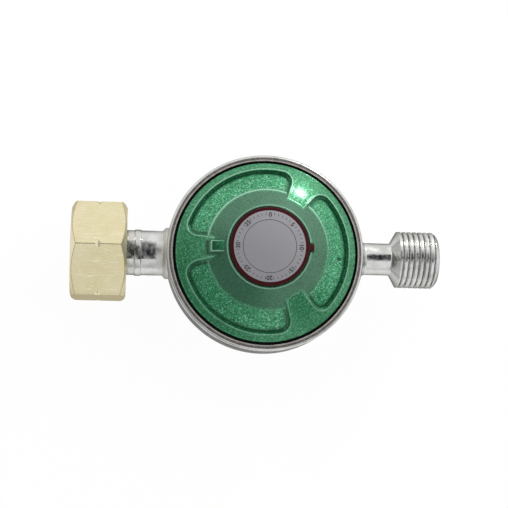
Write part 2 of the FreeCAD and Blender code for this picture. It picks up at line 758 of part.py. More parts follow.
def upper_spring_seat():
    spigot_r = spring_mean_r - SPRING_WIRE_R - SPRING_SPIGOT_GAP
    spigot_in = spigot_r - TOP_SEAT_SPIGOT_WALL
    spigot_bottom = top_seat_bottom - TOP_SEAT_SPIGOT
    return turned_z([
        (SCREW_HOLE_R, top_seat_bottom),
        (spigot_in, top_seat_bottom),
        (spigot_in, spigot_bottom),
        (spigot_r, spigot_bottom),
        (spigot_r, top_seat_bottom),
        (top_seat_r, top_seat_bottom),
        (top_seat_r, screw_bottom),
        (SCREW_HOLE_R, screw_bottom)])


def spring_rise(turn, height):
    """Height of the wire's middle after so many turns: closed end coils and an open middle."""
    coil = 2 * SPRING_WIRE_R
    closed = SPRING_END_TURNS * coil
    open_turns = SPRING_TURNS - 2 * SPRING_END_TURNS
    pitch = (height - 2 * closed) / open_turns
    if turn < SPRING_END_TURNS:
        return turn * coil
    if turn > SPRING_TURNS - SPRING_END_TURNS:
        return height - (SPRING_TURNS - turn) * coil
    return closed + (turn - SPRING_END_TURNS) * pitch


def main_spring():
    """Coil between the plate and the upper seat, of an eight-sided wire with flats up and down."""
    height = top_seat_bottom - plate_top - 2 * SPRING_WIRE_R
    steps = round(SPRING_TURNS * SPRING_STEPS)
    corner_r = SPRING_WIRE_R / math.cos(math.pi / SPRING_SIDES)
    sections = []
    for i in range(steps + 1):
        turn = SPRING_TURNS * i / steps
        swing = FreeCAD.Rotation(Vector(0, 0, 1), 360 * turn)
        centre = Vector(spring_mean_r, 0, plate_top + SPRING_WIRE_R + spring_rise(turn, height))
        corners = []
        for k in range(SPRING_SIDES + 1):
            angle = 2 * math.pi * (k + 0.5) / SPRING_SIDES
            corner = centre + Vector(corner_r * math.cos(angle), 0, corner_r * math.sin(angle))
            corners.append(Vector(body_x, 0, 0) + swing.multVec(corner))
        corners[-1] = corners[0]
        sections.append(Part.makePolygon(corners))
    return Part.makeLoft(sections, True, True)


# ---------------------------------------------------------------- diaphragm group
def diaphragm_plate():
    """Dished disc under the spring, with a turned-up rim."""
    return turned_z([
        (shank_hole_r, disc_top),
        (plate_r - PLATE_THICK, disc_top),
        (plate_r, plate_top),
        (plate_r, plate_top + PLATE_RIM),
        (plate_r - PLATE_THICK, plate_top + PLATE_RIM),
        (plate_r - PLATE_THICK, plate_top),
        (shank_hole_r, plate_top)])


def diaphragm():
    """Rubber disc with one fold round the plate and a square bead clamped in the rim."""
    web_top = web_bottom + WEB_THICK
    fold_in = plate_r + FREE_GAP
    fold_out = fold_in + WEB_FOLD_WIDTH
    return turned_z([
        (shank_hole_r, disc_bottom),
        (fold_in + WEB_THICK / 2, disc_bottom),
        (fold_out + WEB_THICK / 2, web_bottom),
        (bead_inner_r, web_bottom),
        (bead_inner_r, ledge_z),
        (flange_r, ledge_z),
        (flange_r, flange_bottom),
        (bead_inner_r, flange_bottom),
        (bead_inner_r, web_top),
        (fold_out, web_top),
        (fold_in, disc_top),
        (shank_hole_r, disc_top)])


def diaphragm_washer():
    washer = rod_z(body_x, 0, washer_bottom, disc_bottom, washer_r)
    return washer.cut(rod_z(body_x, 0, washer_bottom, disc_bottom, shank_hole_r))


def stem():
    """Stem through the middle, with the window that lifts the lever's tip."""
    shank_top = plate_top + STEM_NUT_THICK + STEM_POINT
    window_bottom = pivot_z - window_half
    body = rod_z(body_x, 0, window_bottom - STEM_FOOT, washer_bottom, STEM_R)
    shank = rod_z(body_x, 0, washer_bottom, shank_top, STEM_SHANK_R)
    half_width = LEVER_TIP_WIDTH / 2 + FREE_GAP
    window = block(body_x - STEM_R - 1, body_x + STEM_R + 1, -half_width, half_width,
                   window_bottom, pivot_z + window_half)
    return body.fuse(shank).cut(window)


def stem_nut():
    nut = hexagon(STEM_NUT_ACROSS, Vector(body_x, 0, plate_top), Vector(0, 0, 1), STEM_NUT_THICK,
                  Vector(1, 0, 0))
    return nut.cut(rod_z(body_x, 0, plate_top, plate_top + STEM_NUT_THICK, shank_hole_r))


# ---------------------------------------------------------------- lever and valve
def lever():
    """Bell crank: the long arm reaches into the stem, the short arm pushes the plunger."""
    boss = rod_y(pivot_x, pivot_z, LEVER_WIDTH / 2, LEVER_BOSS_R)
    arm_half = LEVER_THICK / 2
    long_arm = block(pivot_x, body_x - STEM_R - 2 * FREE_GAP, -LEVER_WIDTH / 2, LEVER_WIDTH / 2,
                     pivot_z - arm_half, pivot_z + arm_half)
    tip = block(pivot_x, body_x + LEVER_TIP_PAST, -LEVER_TIP_WIDTH / 2, LEVER_TIP_WIDTH / 2,
                pivot_z - arm_half, pivot_z + arm_half)
    short_arm = block(pivot_x - arm_half, pivot_x + arm_half, -LEVER_WIDTH / 2, LEVER_WIDTH / 2,
                      pivot_z, LEVER_HEAD)
    hole = rod_y(pivot_x, pivot_z, LEVER_WIDTH, PIN_R + RUNNING_GAP)
    return boss.fuse([long_arm, tip, short_arm]).cut(hole).removeSplitter()


def lever_pin():
    return rod_y(pivot_x, pivot_z, ear_outer + PIN_END, PIN_R)


def lever_bracket():
    """Bent sheet on the chamber floor, with two ears for the pin."""
    top = floor_z + BRACKET_THICK
    pin_hole_r = PIN_R + RUNNING_GAP
    ear_half = BRACKET_EAR_LENGTH / 2
    solid = block(guide_end + FREE_GAP, pivot_x + BRACKET_BACK, -wing_end, wing_end, floor_z, top)
    for side in (-1, 1):
        near, far = sorted((side * ear_inner, side * ear_outer))
        ear = block(pivot_x - ear_half, pivot_x + ear_half, near, far, top,
                    pivot_z + pin_hole_r + BRACKET_EAR_WALL)
        hole = rod_z(pivot_x, side * bracket_screw_y, floor_z - 1, top + 1,
                     BRACKET_SCREW_R + RUNNING_GAP)
        solid = solid.fuse(ear).cut(hole)
    return solid.cut(rod_y(pivot_x, pivot_z, ear_outer + 1, pin_hole_r)).removeSplitter()


def bracket_screws():
    top = floor_z + BRACKET_THICK
    screws = []
    for side in (-1, 1):
        y = side * bracket_screw_y
        head = rod_z(pivot_x, y, top, top + BRACKET_SCREW_HEAD, BRACKET_SCREW_HEAD_R)
        shank = rod_z(pivot_x, y, floor_z - BRACKET_SCREW_DEPTH, top, BRACKET_SCREW_R)
        screws.append(head.fuse(shank))
    return Part.makeCompound(screws)


def inlet_nozzle():
    """Valve seat: a tube with a narrow jet and a raised lip."""
    lip_foot = nozzle_front - NOZZLE_LIP
    jet_start = nozzle_front - NOZZLE_JET_LENGTH
    return turned_x([
        (nozzle_back, NOZZLE_BORE_R),
        (nozzle_back, NOZZLE_R),
        (lip_foot, NOZZLE_R),
        (lip_foot, NOZZLE_LIP_R + NOZZLE_LIP_TAPER),
        (nozzle_front, NOZZLE_LIP_R),
        (nozzle_front, NOZZLE_JET_R),
        (jet_start, NOZZLE_JET_R),
        (jet_start - NOZZLE_BORE_R + NOZZLE_JET_R, NOZZLE_BORE_R)])


def valve_pad():
    return rod_x(pad_front, pad_front + PAD_THICK, pad_r)


def valve_plunger():
    """Guided barrel with the rubber pad's pocket in front and a tapered nose behind."""
    pocket_end = pad_front + PAD_THICK
    return turned_x([
        (plunger_front, pad_r),
        (plunger_front, PLUNGER_R),
        (plunger_back, PLUNGER_R),
        (plunger_back, PLUNGER_NOSE_R),
        (nose_x, PLUNGER_TIP_R),
        (nose_x, 0),
        (pocket_end, 0),
        (pocket_end, pad_r)])


# ---------------------------------------------------------------- the whole regulator
NODES = {
    "casing": casing,
    "cover": cover,
    "cap": cap,
    "label": label,
    "adjusting_screw": adjusting_screw,
    "upper_spring_seat": upper_spring_seat,
    "main_spring": main_spring,
    "diaphragm_plate": diaphragm_plate,
    "diaphragm": diaphragm,
    "diaphragm_washer": diaphragm_washer,
    "stem": stem,
    "stem_nut": stem_nut,
    "lever": lever,
    "lever_pin": lever_pin,
    "lever_bracket": lever_bracket,
    "bracket_screws": bracket_screws,
    "valve_plunger": valve_plunger,
    "valve_pad": valve_pad,
    "inlet_nozzle": inlet_nozzle,
    "inlet_filter": inlet_filter,
    "inlet_nipple": inlet_nipple,
    "nipple_seal": nipple_seal,
    "inlet_gasket": inlet_gasket,
    "union_nut": union_nut,
    "slip_ring": slip_ring,
}

os.makedirs("parts", exist_ok=True)
for node, make in NODES.items():
    shape = make()
    print(f"{node:20s} solids {len(shape.Solids)} valid {shape.isValid()} volume {shape.Volume:9.2f}")
    write(node, shape)
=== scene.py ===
# %% [markdown]
# # A low-pressure gas regulator
# A round zinc casting closed by a green enamelled cover. A loose brass union nut holds it to the
# cylinder at one side, and a threaded stub takes the hose at the other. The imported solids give
# every size and place. Here the pieces that show are modelled again with finer rounds, real
# threads and real finishes, and each of them takes the place of its plain solid.

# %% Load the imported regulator
import json
import math

import bpy
import numpy as np
from mathutils import Matrix, Quaternion, Vector


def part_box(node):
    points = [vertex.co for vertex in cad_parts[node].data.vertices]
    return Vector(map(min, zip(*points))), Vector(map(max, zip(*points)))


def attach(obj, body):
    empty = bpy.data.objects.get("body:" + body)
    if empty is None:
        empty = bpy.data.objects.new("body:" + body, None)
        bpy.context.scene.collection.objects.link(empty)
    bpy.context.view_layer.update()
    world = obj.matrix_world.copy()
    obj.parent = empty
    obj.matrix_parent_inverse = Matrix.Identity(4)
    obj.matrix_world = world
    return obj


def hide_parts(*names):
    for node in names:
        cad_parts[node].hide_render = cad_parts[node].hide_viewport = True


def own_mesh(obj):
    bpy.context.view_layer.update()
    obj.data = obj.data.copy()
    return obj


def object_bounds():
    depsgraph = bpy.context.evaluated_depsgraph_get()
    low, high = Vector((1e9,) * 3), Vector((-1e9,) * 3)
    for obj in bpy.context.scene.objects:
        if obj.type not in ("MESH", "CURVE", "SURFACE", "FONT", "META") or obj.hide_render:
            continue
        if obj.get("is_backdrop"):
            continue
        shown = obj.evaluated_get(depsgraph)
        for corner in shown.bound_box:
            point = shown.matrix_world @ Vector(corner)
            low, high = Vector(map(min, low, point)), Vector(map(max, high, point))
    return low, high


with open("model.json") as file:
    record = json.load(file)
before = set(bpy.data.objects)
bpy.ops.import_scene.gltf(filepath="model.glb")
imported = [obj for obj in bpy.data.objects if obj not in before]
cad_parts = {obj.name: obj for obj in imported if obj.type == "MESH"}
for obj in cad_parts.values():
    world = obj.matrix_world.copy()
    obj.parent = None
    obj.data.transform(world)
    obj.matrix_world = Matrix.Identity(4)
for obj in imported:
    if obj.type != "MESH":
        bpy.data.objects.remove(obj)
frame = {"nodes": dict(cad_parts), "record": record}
cad_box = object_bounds()
nodes = frame["nodes"]
print("solids in the frame:", len(nodes))

# %% [markdown]
# ## Working in millimetres
# The frame is in metres, but a regulator is drawn in millimetres. So each piece is modelled at
# one unit to the millimetre, about its own axis, and is shrunk into its place when it is
# finished. Its object then stands at the origin, and its place is in its mesh.

# %% Sizes in millimetres, as the solids have them
MM = 0.001
low, high = (tuple(v / MM for v in corner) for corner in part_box("casing"))
BODY_X = sum(v.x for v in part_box("cover")) / 2 / MM   # upright axis of casing, cover and cap
CASING_R = high[1]
BASE_Z = low[2]
LIP_TOP = 7.8
OUTLET_END = high[0]
THREAD_START = OUTLET_END - 11.4
WALL_IN = BODY_X - CASING_R
WALL_OUT = BODY_X + CASING_R
TURRET_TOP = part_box("cover")[1].z / MM
NUT_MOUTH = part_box("union_nut")[0].x / MM
NUT_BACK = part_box("union_nut")[1].x / MM
NUT_CORNER_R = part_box("union_nut")[1].z / MM
print(f"body at {BODY_X:.2f}, walls {WALL_IN:.2f} to {WALL_OUT:.2f}, turret top {TURRET_TOP:.2f}")
print(f"nut {NUT_MOUTH:.2f} to {NUT_BACK:.2f}, corners {NUT_CORNER_R:.2f}, outlet end {OUTLET_END:.2f}")

# %% Small helpers for picking, turning and cutting
def only(piece):
    """Makes this the one selected and active object."""
    bpy.ops.object.select_all(action="DESELECT")
    piece.select_set(True)
    bpy.context.view_layer.objects.active = piece


def vertices_of(piece):
    places = np.empty(len(piece.data.vertices) * 3)
    piece.data.vertices.foreach_get("co", places)
    return places.reshape(-1, 3)


def move_vertices(piece, places):
    piece.data.vertices.foreach_set("co", places.ravel())
    piece.data.update()


def rounded(corners, steps=5):
    """Closed outline of (a, b) or (a, b, radius) corners; a radius is cut as a short fan of edges."""
    outline = []
    for i, (a, b, *radius) in enumerate(corners):
        if not radius:
            outline.append((a, b))
            continue
        here = Vector((a, b))
        back = (Vector(corners[i - 1][:2]) - here).normalized()
        on = (Vector(corners[(i + 1) % len(corners)][:2]) - here).normalized()
        half = back.angle(on) / 2
        centre = here + (back + on).normalized() * radius[0] / math.sin(half)
        reach = radius[0] / math.tan(half)
        first, last = here + back * reach - centre, here + on * reach - centre
        for k in range(steps + 1):
            spoke = first.lerp(last, k / steps).normalized() * radius[0]
            outline.append(tuple(centre + spoke))
    return outline


def draw(name, corners):
    """Pushes one vertex from corner to corner, which leaves a chain of edges."""
    bpy.ops.object.select_all(action="DESELECT")
    bpy.ops.mesh.primitive_plane_add(size=1)
    piece = bpy.context.object
    piece.name = piece.data.name = name
    bpy.ops.object.mode_set(mode="EDIT")
    bpy.ops.mesh.merge(type="CENTER")
    bpy.ops.transform.translate(value=corners[0])
    for here, there in zip(corners, corners[1:]):
        bpy.ops.mesh.extrude_region_move(
            TRANSFORM_OT_translate={"value": Vector(there) - Vector(here)})
    bpy.ops.object.mode_set(mode="OBJECT")
    return piece


def turn(name, outline, along="Z", steps=192):
    """Spins a closed outline round an axis, as on a lathe: (radius, height) for Z, (x, radius) for X."""
    outline = list(outline) + [outline[0]]
    if along == "Z":
        corners, axis = [(r, 0, z) for r, z in outline], (0, 0, 1)
    else:
        corners, axis = [(x, 0, r) for x, r in outline], (1, 0, 0)
    piece = draw(name, corners)
    bpy.ops.object.mode_set(mode="EDIT")
    bpy.ops.mesh.select_all(action="SELECT")
    bpy.ops.mesh.spin(steps=steps, angle=math.tau, center=(0, 0, 0), axis=axis)
    bpy.ops.mesh.select_all(action="SELECT")
    bpy.ops.mesh.remove_doubles(threshold=1e-4)
    bpy.ops.mesh.normals_make_consistent(inside=False)
    bpy.ops.object.mode_set(mode="OBJECT")
    return piece


def block(name, x, y, z, edge=0.0):
    """A box between two limits on each axis, with its edges rounded."""
    bpy.ops.object.select_all(action="DESELECT")
    bpy.ops.mesh.primitive_cube_add(size=1, location=[sum(v) / 2 for v in (x, y, z)],
                                    scale=[v[1] - v[0] for v in (x, y, z)])
    piece = bpy.context.object
    piece.name = piece.data.name = name
    bpy.ops.object.transform_apply()
    if edge:
        bpy.ops.object.mode_set(mode="EDIT")
        bpy.ops.mesh.select_all(action="SELECT")
        bpy.ops.mesh.bevel(offset=edge, segments=3, affect="EDGES")
        bpy.ops.object.mode_set(mode="OBJECT")
    return piece


def cut(piece, tool, how="DIFFERENCE"):
    """Cuts, joins or trims a piece with a tool, which is used up."""
    only(piece)
    bpy.ops.object.modifier_add(type="BOOLEAN")
    work = piece.modifiers[-1]
    work.operation, work.solver, work.object = how, "EXACT", tool
    bpy.ops.object.modifier_apply(modifier=work.name)
    bpy.data.objects.remove(tool, do_unlink=True)
    return piece


def finish_piece(piece, body, stands_for, x=0.0, angle=32):
    """Shrinks a piece into its place, smooths it, and fixes it to its body."""
    only(piece)
    piece.location = (x * MM, 0, 0)
    piece.scale = (MM, MM, MM)
    bpy.ops.object.transform_apply(location=True, rotation=True, scale=True)
    bpy.ops.object.shade_smooth_by_angle(angle=math.radians(angle))
    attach(piece, body)
    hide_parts(*stands_for)
    spans = [round(v / MM, 1) for v in piece.dimensions]
    print(f"{piece.name}: {len(piece.data.polygons)} faces, {spans} mm")
    return piece


# %% [markdown]
# ## The camera
# It looks almost straight down on the cover, a little from below and from the left, with the
# pipes running left to right. A long lens keeps the round casing round.

# %% Set the camera
camera_at = Vector((6.418, -58.476, 395.496)) * MM
looks_at = Vector((42.027, -0.608, 7.8)) * MM
CAMERA_ROLL = math.radians(0.834)
bpy.ops.object.camera_add(location=camera_at)
camera = bpy.context.object
forward = (looks_at - camera_at).normalized()
right = forward.cross(Vector((0, 1, 0))).normalized()
upright = Matrix((right, right.cross(forward), -forward)).transposed().to_quaternion()
camera.rotation_euler = (upright @ Quaternion((0, 0, 1), CAMERA_ROLL)).to_euler()
camera.data.lens = 100.45
camera.data.sensor_width = 36
bpy.context.scene.camera = camera
print("camera stands", round((camera_at - looks_at).length, 3), "m away")

# %% [markdown]
# ## The cast bowl
# The casing is a zinc die casting. Its rim is rolled inwards over the cover, which leaves a
# rounded silver lip, and its underside ends in a foot ring. All of it is round, so it is one
# outline turned on a lathe. The wall is closed inside too, since the works sit in it.

# %% Turn the bowl
bowl_outline = rounded([
    (0, -6.2), (21.4, -6.2), (22.8, -4.8), (22.8, 4.2), (26.45, 4.2), (26.45, 6.9),
    (25.7, 6.9), (25.7, LIP_TOP, 0.12), (CASING_R, LIP_TOP, 0.85), (CASING_R, -1.4, 1.5),
    (26.6, -5.6, 0.8), (26.1, BASE_Z, 2.4), (20.6, BASE_Z, 0.3), (20.1, BASE_Z + 0.5, 0.3),
    (0, BASE_Z + 0.5)])
bowl = turn("cast_bowl", bowl_outline, steps=256)

# %% [markdown]
# ## The inlet stub
# A short cast pipe with a raised band round it and a flat along its top, where the mould was
# dressed. It is turned, and a rounded block then cuts the flat. The band stays a little
# higher where it crosses the flat.

# %% Turn the inlet stub and cut its flat
STUB_R = 6.3
BAND = (8.9, 10.9)
BAND_R = STUB_R + 0.22
stub_outline = rounded([
    (3.4, 6.0), (3.4, STUB_R, 0.25), (BAND[0], STUB_R, 0.2), (BAND[0] + 0.25, BAND_R, 0.2),
    (BAND[1] - 0.25, BAND_R, 0.2), (BAND[1], STUB_R, 0.2), (WALL_IN - 0.9, STUB_R, 0.5),
    (WALL_IN - 0.1, STUB_R + 0.9, 0.25), (WALL_IN + 1.2, STUB_R + 0.9), (WALL_IN + 2.2, STUB_R - 0.3),
    (WALL_IN + 2.2, 3.2),
    (12.2, 3.2), (12.2, 4.65), (4.6, 4.65), (4.6, 6.0)], steps=4)
stub = turn("inlet_stub", stub_outline, along="X", steps=160)
for start, end, depth in ((2.5, BAND[0] + 0.2, 0.55), (BAND[0] - 0.3, BAND[1] + 0.3, 0.38),
                          (BAND[1] - 0.2, 15.0, 0.55)):
    flat_cutter = block("flat_cutter", (start, end), (-4, 4), (STUB_R - depth, 9), edge=0.12)
    cut(stub, flat_cutter)

# %% [markdown]
# ## The outlet stub
# A slim neck, a cone and a threaded end. The thread is left-handed with a pitch of 1.5 mm. A
# thread is a plain cylinder whose surface goes in and out as it winds, so the stub is turned
# with closely spaced rings, and each vertex is then moved in by the depth of the groove.

# %% Turn the outlet and wind its thread
THREAD_R = 8.0
PITCH = 1.5
THREAD_DEPTH = 0.5
NECK_R = 4.55
NECK_END = THREAD_START - 2.0
END_CHAMFER = 1.5
ring_gap = 0.1
threaded = [(x, THREAD_R) for x in np.arange(THREAD_START + ring_gap, OUTLET_END - 0.05, ring_gap)]
outlet_outline = ([(WALL_OUT - 2.2, 2.9), (WALL_OUT - 2.2, NECK_R + 1.1)]
                  + rounded([(WALL_OUT - 2.2, NECK_R + 1.1), (WALL_OUT - 0.1, NECK_R + 1.1, 0.2),
                             (WALL_OUT + 1.1, NECK_R, 0.9), (NECK_END, NECK_R, 0.5),
                             (THREAD_START, THREAD_R, 0.1), (OUTLET_END, THREAD_R)])[1:-1]
                  + threaded + [(OUTLET_END, 6.4), (OUTLET_END, 2.9)])
outlet = turn("outlet_stub", outlet_outline, along="X", steps=160)


def groove(x, angle, pitch, hand):
    """How deep the thread is at a place, from 0 on the crest to 1 at the root."""
    wave = (x / pitch - hand * angle / math.tau) % 1.0
    slope = np.abs(wave - 0.5) * 2
    return 1 - np.clip((slope - 0.05) / 0.42, 0, 1)


places = vertices_of(outlet)
reach = np.hypot(places[:, 1], places[:, 2])
turned_to = np.arctan2(places[:, 2], places[:, 1])
on_thread = (places[:, 0] > THREAD_START) & (reach > THREAD_R - 0.05)
depth = THREAD_DEPTH * groove(places[:, 0], turned_to, PITCH, hand=-1)
run_in = np.clip((places[:, 0] - THREAD_START) / 0.7, 0, 1)
chamfer = np.clip((places[:, 0] - (OUTLET_END - END_CHAMFER)) / END_CHAMFER, 0, 1) ** 1.6 * 1.45
wanted = np.minimum(THREAD_R - depth * run_in, THREAD_R - chamfer)
factor = np.where(on_thread, wanted / np.maximum(reach, 1e-6), 1)
places[:, 1:] *= factor[:, None]
move_vertices(outlet, places)
print("turns of the outlet thread:", round((OUTLET_END - THREAD_START) / PITCH, 1))

# %% [markdown]
# ## The pressed cover
# The cover is one enamelled casting: a dome, three sunk kidney-shaped fields, and a conical
# turret in the middle that holds the spring. A dome with fields can't be drawn as one outline.
# So the plain cover is turned with very close rings first, and the rings of its top are then
# pushed down inside the kidneys, with a smooth edge, as the casting's mould has it.

# %% Work out the cover's top surface
DOME_EDGE = Vector((24.8, 8.35))
DOME_TOP = Vector((14.85, 14.69))
FIELD_EDGE = Vector((24.8, 7.3))
FIELD_FOOT = Vector((16.75, 12.7))
TURRET_R = 11.6
TURRET_SLOPE = 5.4 / 5.15
FIELD_OUTER_R = 22.7
FIELD_HALF = math.radians(48.5)
FIELD_CORNER = 3.0
FIELD_WALL = 0.34
VENT_TURN = math.radians(-5.4)
VENT_R_AT = 20.3
TOP_ZONE = (TURRET_R + 0.36, DOME_EDGE.x)


def eased(value):
    value = np.clip(value, 0, 1)
    return value * value * (3 - 2 * value)


def higher_of(a, b, blend=0.28):
    """The higher of two surfaces, with a small fillet where they meet."""
    near = np.clip(blend - np.abs(a - b), 0, None) / blend
    return np.maximum(a, b) + near * near * blend / 4


def dome_height(r):
    along = (DOME_EDGE.x - r) / (DOME_EDGE.x - DOME_TOP.x)
    chord = DOME_EDGE.y + along * (DOME_TOP.y - DOME_EDGE.y)
    return chord + 0.48 * 4 * np.clip(along, 0, 1) * (1 - np.clip(along, 0, 1))


def field_height(r):
    slope = (FIELD_FOOT.y - FIELD_EDGE.y) / (FIELD_EDGE.x - FIELD_FOOT.x)
    return FIELD_EDGE.y + (FIELD_EDGE.x - r) * slope


def cone_height(r):
    return TURRET_TOP - (r - TURRET_R) * TURRET_SLOPE


def past_edge(r, turned):
    """Distance outside the nearest kidney's edge, less than 0 inside it."""
    third = math.tau / 3
    off = np.abs((turned + third / 2) % third - third / 2)
    beyond_end = (off - FIELD_HALF) * r + FIELD_CORNER
    beyond_rim = r - FIELD_OUTER_R + FIELD_CORNER
    corner = np.hypot(np.clip(beyond_end, 0, None), np.clip(beyond_rim, 0, None))
    inside = np.minimum(np.maximum(beyond_end, beyond_rim), 0)
    return corner + inside - FIELD_CORNER


def inside_field(r, turned):
    """1 inside a kidney, 0 outside, easing over its wall."""
    return eased(0.5 - past_edge(r, turned) / (2 * FIELD_WALL))


def from_vent(r, turned):
    return np.hypot(r * np.cos(turned) - VENT_R_AT * math.cos(VENT_TURN),
                    r * np.sin(turned) - VENT_R_AT * math.sin(VENT_TURN))


def top_height(r, turned):
    sunk = inside_field(r, turned)
    ground = dome_height(r) * (1 - sunk) + field_height(r) * sunk
    vent_off = from_vent(r, turned)
    ground = ground + 0.15 * eased((1.5 - vent_off) / 0.4) - 0.35 * eased((0.65 - vent_off) / 0.3)
    foot_bead = 0.16 * sunk * np.exp(-((cone_height(r) - ground) / 0.16) ** 2)
    edge_bead = 0.12 * np.exp(-((past_edge(r, turned) - 0.5) / 0.24) ** 2) * eased((r - 15.5) / 1.5)
    return higher_of(ground, cone_height(r)) + foot_bead + edge_bead


# %% Turn the cover and press its fields
top_rings = [(r, float(higher_of(dome_height(r), cone_height(r))))
             for r in np.linspace(TOP_ZONE[1], TOP_ZONE[0], 108)]
cover_outline = (rounded([(23.4, 7.4), (23.4, 5.4), (26.4, 5.4), (26.4, 6.9), (25.1, 6.9),
                          (25.1, DOME_EDGE.y - 0.05, 0.22), (DOME_EDGE.x, DOME_EDGE.y)])[:-1]
                 + top_rings
                 + rounded([(TOP_ZONE[0], top_rings[-1][1]), (TURRET_R, TURRET_TOP, 0.25),
                            (11.15, TURRET_TOP, 0.12), (11.15, 17.3), (9.05, 17.3), (9.05, 11.8),
                            (10.95, 11.8), (10.95, 14.4), (11.6, 14.4), (13.55, 12.34),
                            (14.85, 12.34)], steps=4)[1:])
cover = turn("pressed_cover", cover_outline, steps=576)
places = vertices_of(cover)
r = np.hypot(places[:, 0], places[:, 1])
turned_to = np.arctan2(places[:, 1], places[:, 0])
plain = higher_of(dome_height(r), cone_height(r))
on_top = (np.abs(places[:, 2] - plain) < 1e-3) & (r < TOP_ZONE[1] + 1e-3) & (r > TOP_ZONE[0] - 1e-3)
places[on_top, 2] = top_height(r[on_top], turned_to[on_top])
move_vertices(cover, places)
print("vertices pressed into the fields:", int((inside_field(r, turned_to)[on_top] > 0.5).sum()))

# %% [markdown]
# ### The lug and the tab's notch
# A square-ended lug stands on the turret opposite the cap's tab. It is a block with a sloping
# end and rounded edges. The notch that frees the tab is cut right through the turret's rim.

# %% Add the lug and cut the notch
LUG_TOP = 17.4
LUG_END = 15.8
lug = block("lug", (-LUG_END - 0.8, -TURRET_R + 0.3), (-1.53, 1.53), (12.1, LUG_TOP), edge=0.3)
places = vertices_of(lug)
lean = np.clip((places[:, 2] - 12.1) / (LUG_TOP - 12.1), 0, 1) * 0.8
places[:, 0] += np.where(places[:, 0] < -LUG_END, lean, 0)
move_vertices(lug, places)
cut(cover, block("notch_cutter", (10.7, 13.8), (-1.3, 1.3), (17.32, 19)))
only(lug)
cover.select_set(True)
bpy.context.view_layer.objects.active = cover
bpy.ops.object.join()

# %% [markdown]
# ## The cap and its label
# The cap is a moulded crimson disc, pressed into the turret and prised out by its tab. A round
# silver film is stuck in the middle. The film carries only a plain ring of ticks and numbers.

# %% Mould the cap
CAP_R = 10.75
CAP_TOP = 18.95
CAP_SEAT = 17.3
cap = turn("closing_cap", rounded([
    (0, CAP_SEAT), (7.9, CAP_SEAT), (7.9, 16.4), (8.9, 16.4), (8.9, CAP_SEAT), (CAP_R, CAP_SEAT),
    (CAP_R, CAP_TOP, 0.22), (0, CAP_TOP)], steps=4), steps=192)
tab = block("tab", (9.5, CAP_R + 1.35), (-0.85, 0.85), (CAP_SEAT + 0.02, CAP_TOP - 0.02), edge=0.2)
cut(cap, tab, how="UNION")

# %% Cut the label film and print its ring
FILM_R = 9.8
FILM_TOP = 19.04
PRINT_TOP = 19.06
TICKS = 48
NUMBERS = 8
NUMBER_RING_R = 8.6
film = turn("label_film", rounded([(0, CAP_TOP), (FILM_R, CAP_TOP), (FILM_R, FILM_TOP, 0.04),
                                   (0, FILM_TOP)], steps=2), steps=192)
ink = []
for i in range(TICKS):
    if i % (TICKS // NUMBERS) == 0:
        continue
    tick = block("tick", (8.55, 9.15), (-0.07, 0.07), (FILM_TOP - 0.01, PRINT_TOP))
    only(tick)
    tick.rotation_euler = (0, 0, math.tau * i / TICKS)
    bpy.ops.object.transform_apply()
    ink.append(tick)
for i in range(NUMBERS):
    bpy.ops.object.text_add()
    number = bpy.context.object
    number.data.body = str(i * 5)
    number.data.align_x, number.data.align_y = "CENTER", "CENTER"
    number.data.size = 1.7
    number.data.offset = 0.03
    number.data.extrude = 0.01
    swing = math.tau * (1 / 4 - i / NUMBERS)
    number.location = (NUMBER_RING_R * math.cos(swing), NUMBER_RING_R * math.sin(swing), PRINT_TOP - 0.01)
    number.rotation_euler = (0, 0, swing - math.pi / 2)
    only(number)
    bpy.ops.object.convert(target="MESH")
    bpy.ops.object.transform_apply()
    ink.append(number)
ink.append(turn("ring_line", [(7.2, PRINT_TOP), (7.32, PRINT_TOP), (7.32, FILM_TOP - 0.01),
                              (7.2, FILM_TOP - 0.01)], steps=128))
bpy.ops.object.select_all(action="DESELECT")
for mark in ink:
    mark.select_set(True)
printing = ink[0]
bpy.context.view_layer.objects.active = printing
bpy.ops.object.join()
printing.name = printing.data.name = "label_print"

# %% [markdown]
# ## The union nut
# A hexagonal brass nut, chamfered at both ends so that each flat ends in an arc, with a V cut
# across every corner, the sign of a left-hand thread. A six-sided bar is trimmed by a turned
# blank, which makes the arcs, and a turned tool with a wound thread then hollows it.

# %% Make the hexagonal bar and its arcs
ACROSS_FLATS = NUT_CORNER_R * math.sqrt(3)
FACE_R = ACROSS_FLATS / 2 - 0.6
bpy.ops.object.select_all(action="DESELECT")
bpy.ops.mesh.primitive_cylinder_add(vertices=6, radius=NUT_CORNER_R, depth=NUT_BACK - NUT_MOUTH)
nut = bpy.context.object
nut.name = nut.data.name = "hexagon_nut"
for turned in ((0, 0, math.radians(30)), (0, math.pi / 2, 0)):
    nut.rotation_euler = turned
    bpy.ops.object.transform_apply()
nut.location = ((NUT_MOUTH + NUT_BACK) / 2, 0, 0)
bpy.ops.object.transform_apply()
corner_heights = vertices_of(nut)[:, 2]
print("highest corner of the bar:", round(corner_heights.max(), 2), "of", round(NUT_CORNER_R, 2))
bpy.ops.object.mode_set(mode="EDIT")
bpy.ops.mesh.select_all(action="SELECT")
bpy.ops.mesh.bevel(offset=0.32, segments=3, affect="EDGES")
bpy.ops.object.mode_set(mode="OBJECT")
beyond = NUT_CORNER_R + 1
run = (beyond - FACE_R) * math.tan(math.radians(30))
blank = turn("blank", [(NUT_MOUTH, 0), (NUT_MOUTH, FACE_R), (NUT_MOUTH + run, beyond),
                       (NUT_BACK - run, beyond), (NUT_BACK, FACE_R), (NUT_BACK, 0)],
             along="X", steps=192)
cut(nut, blank, how="INTERSECT")

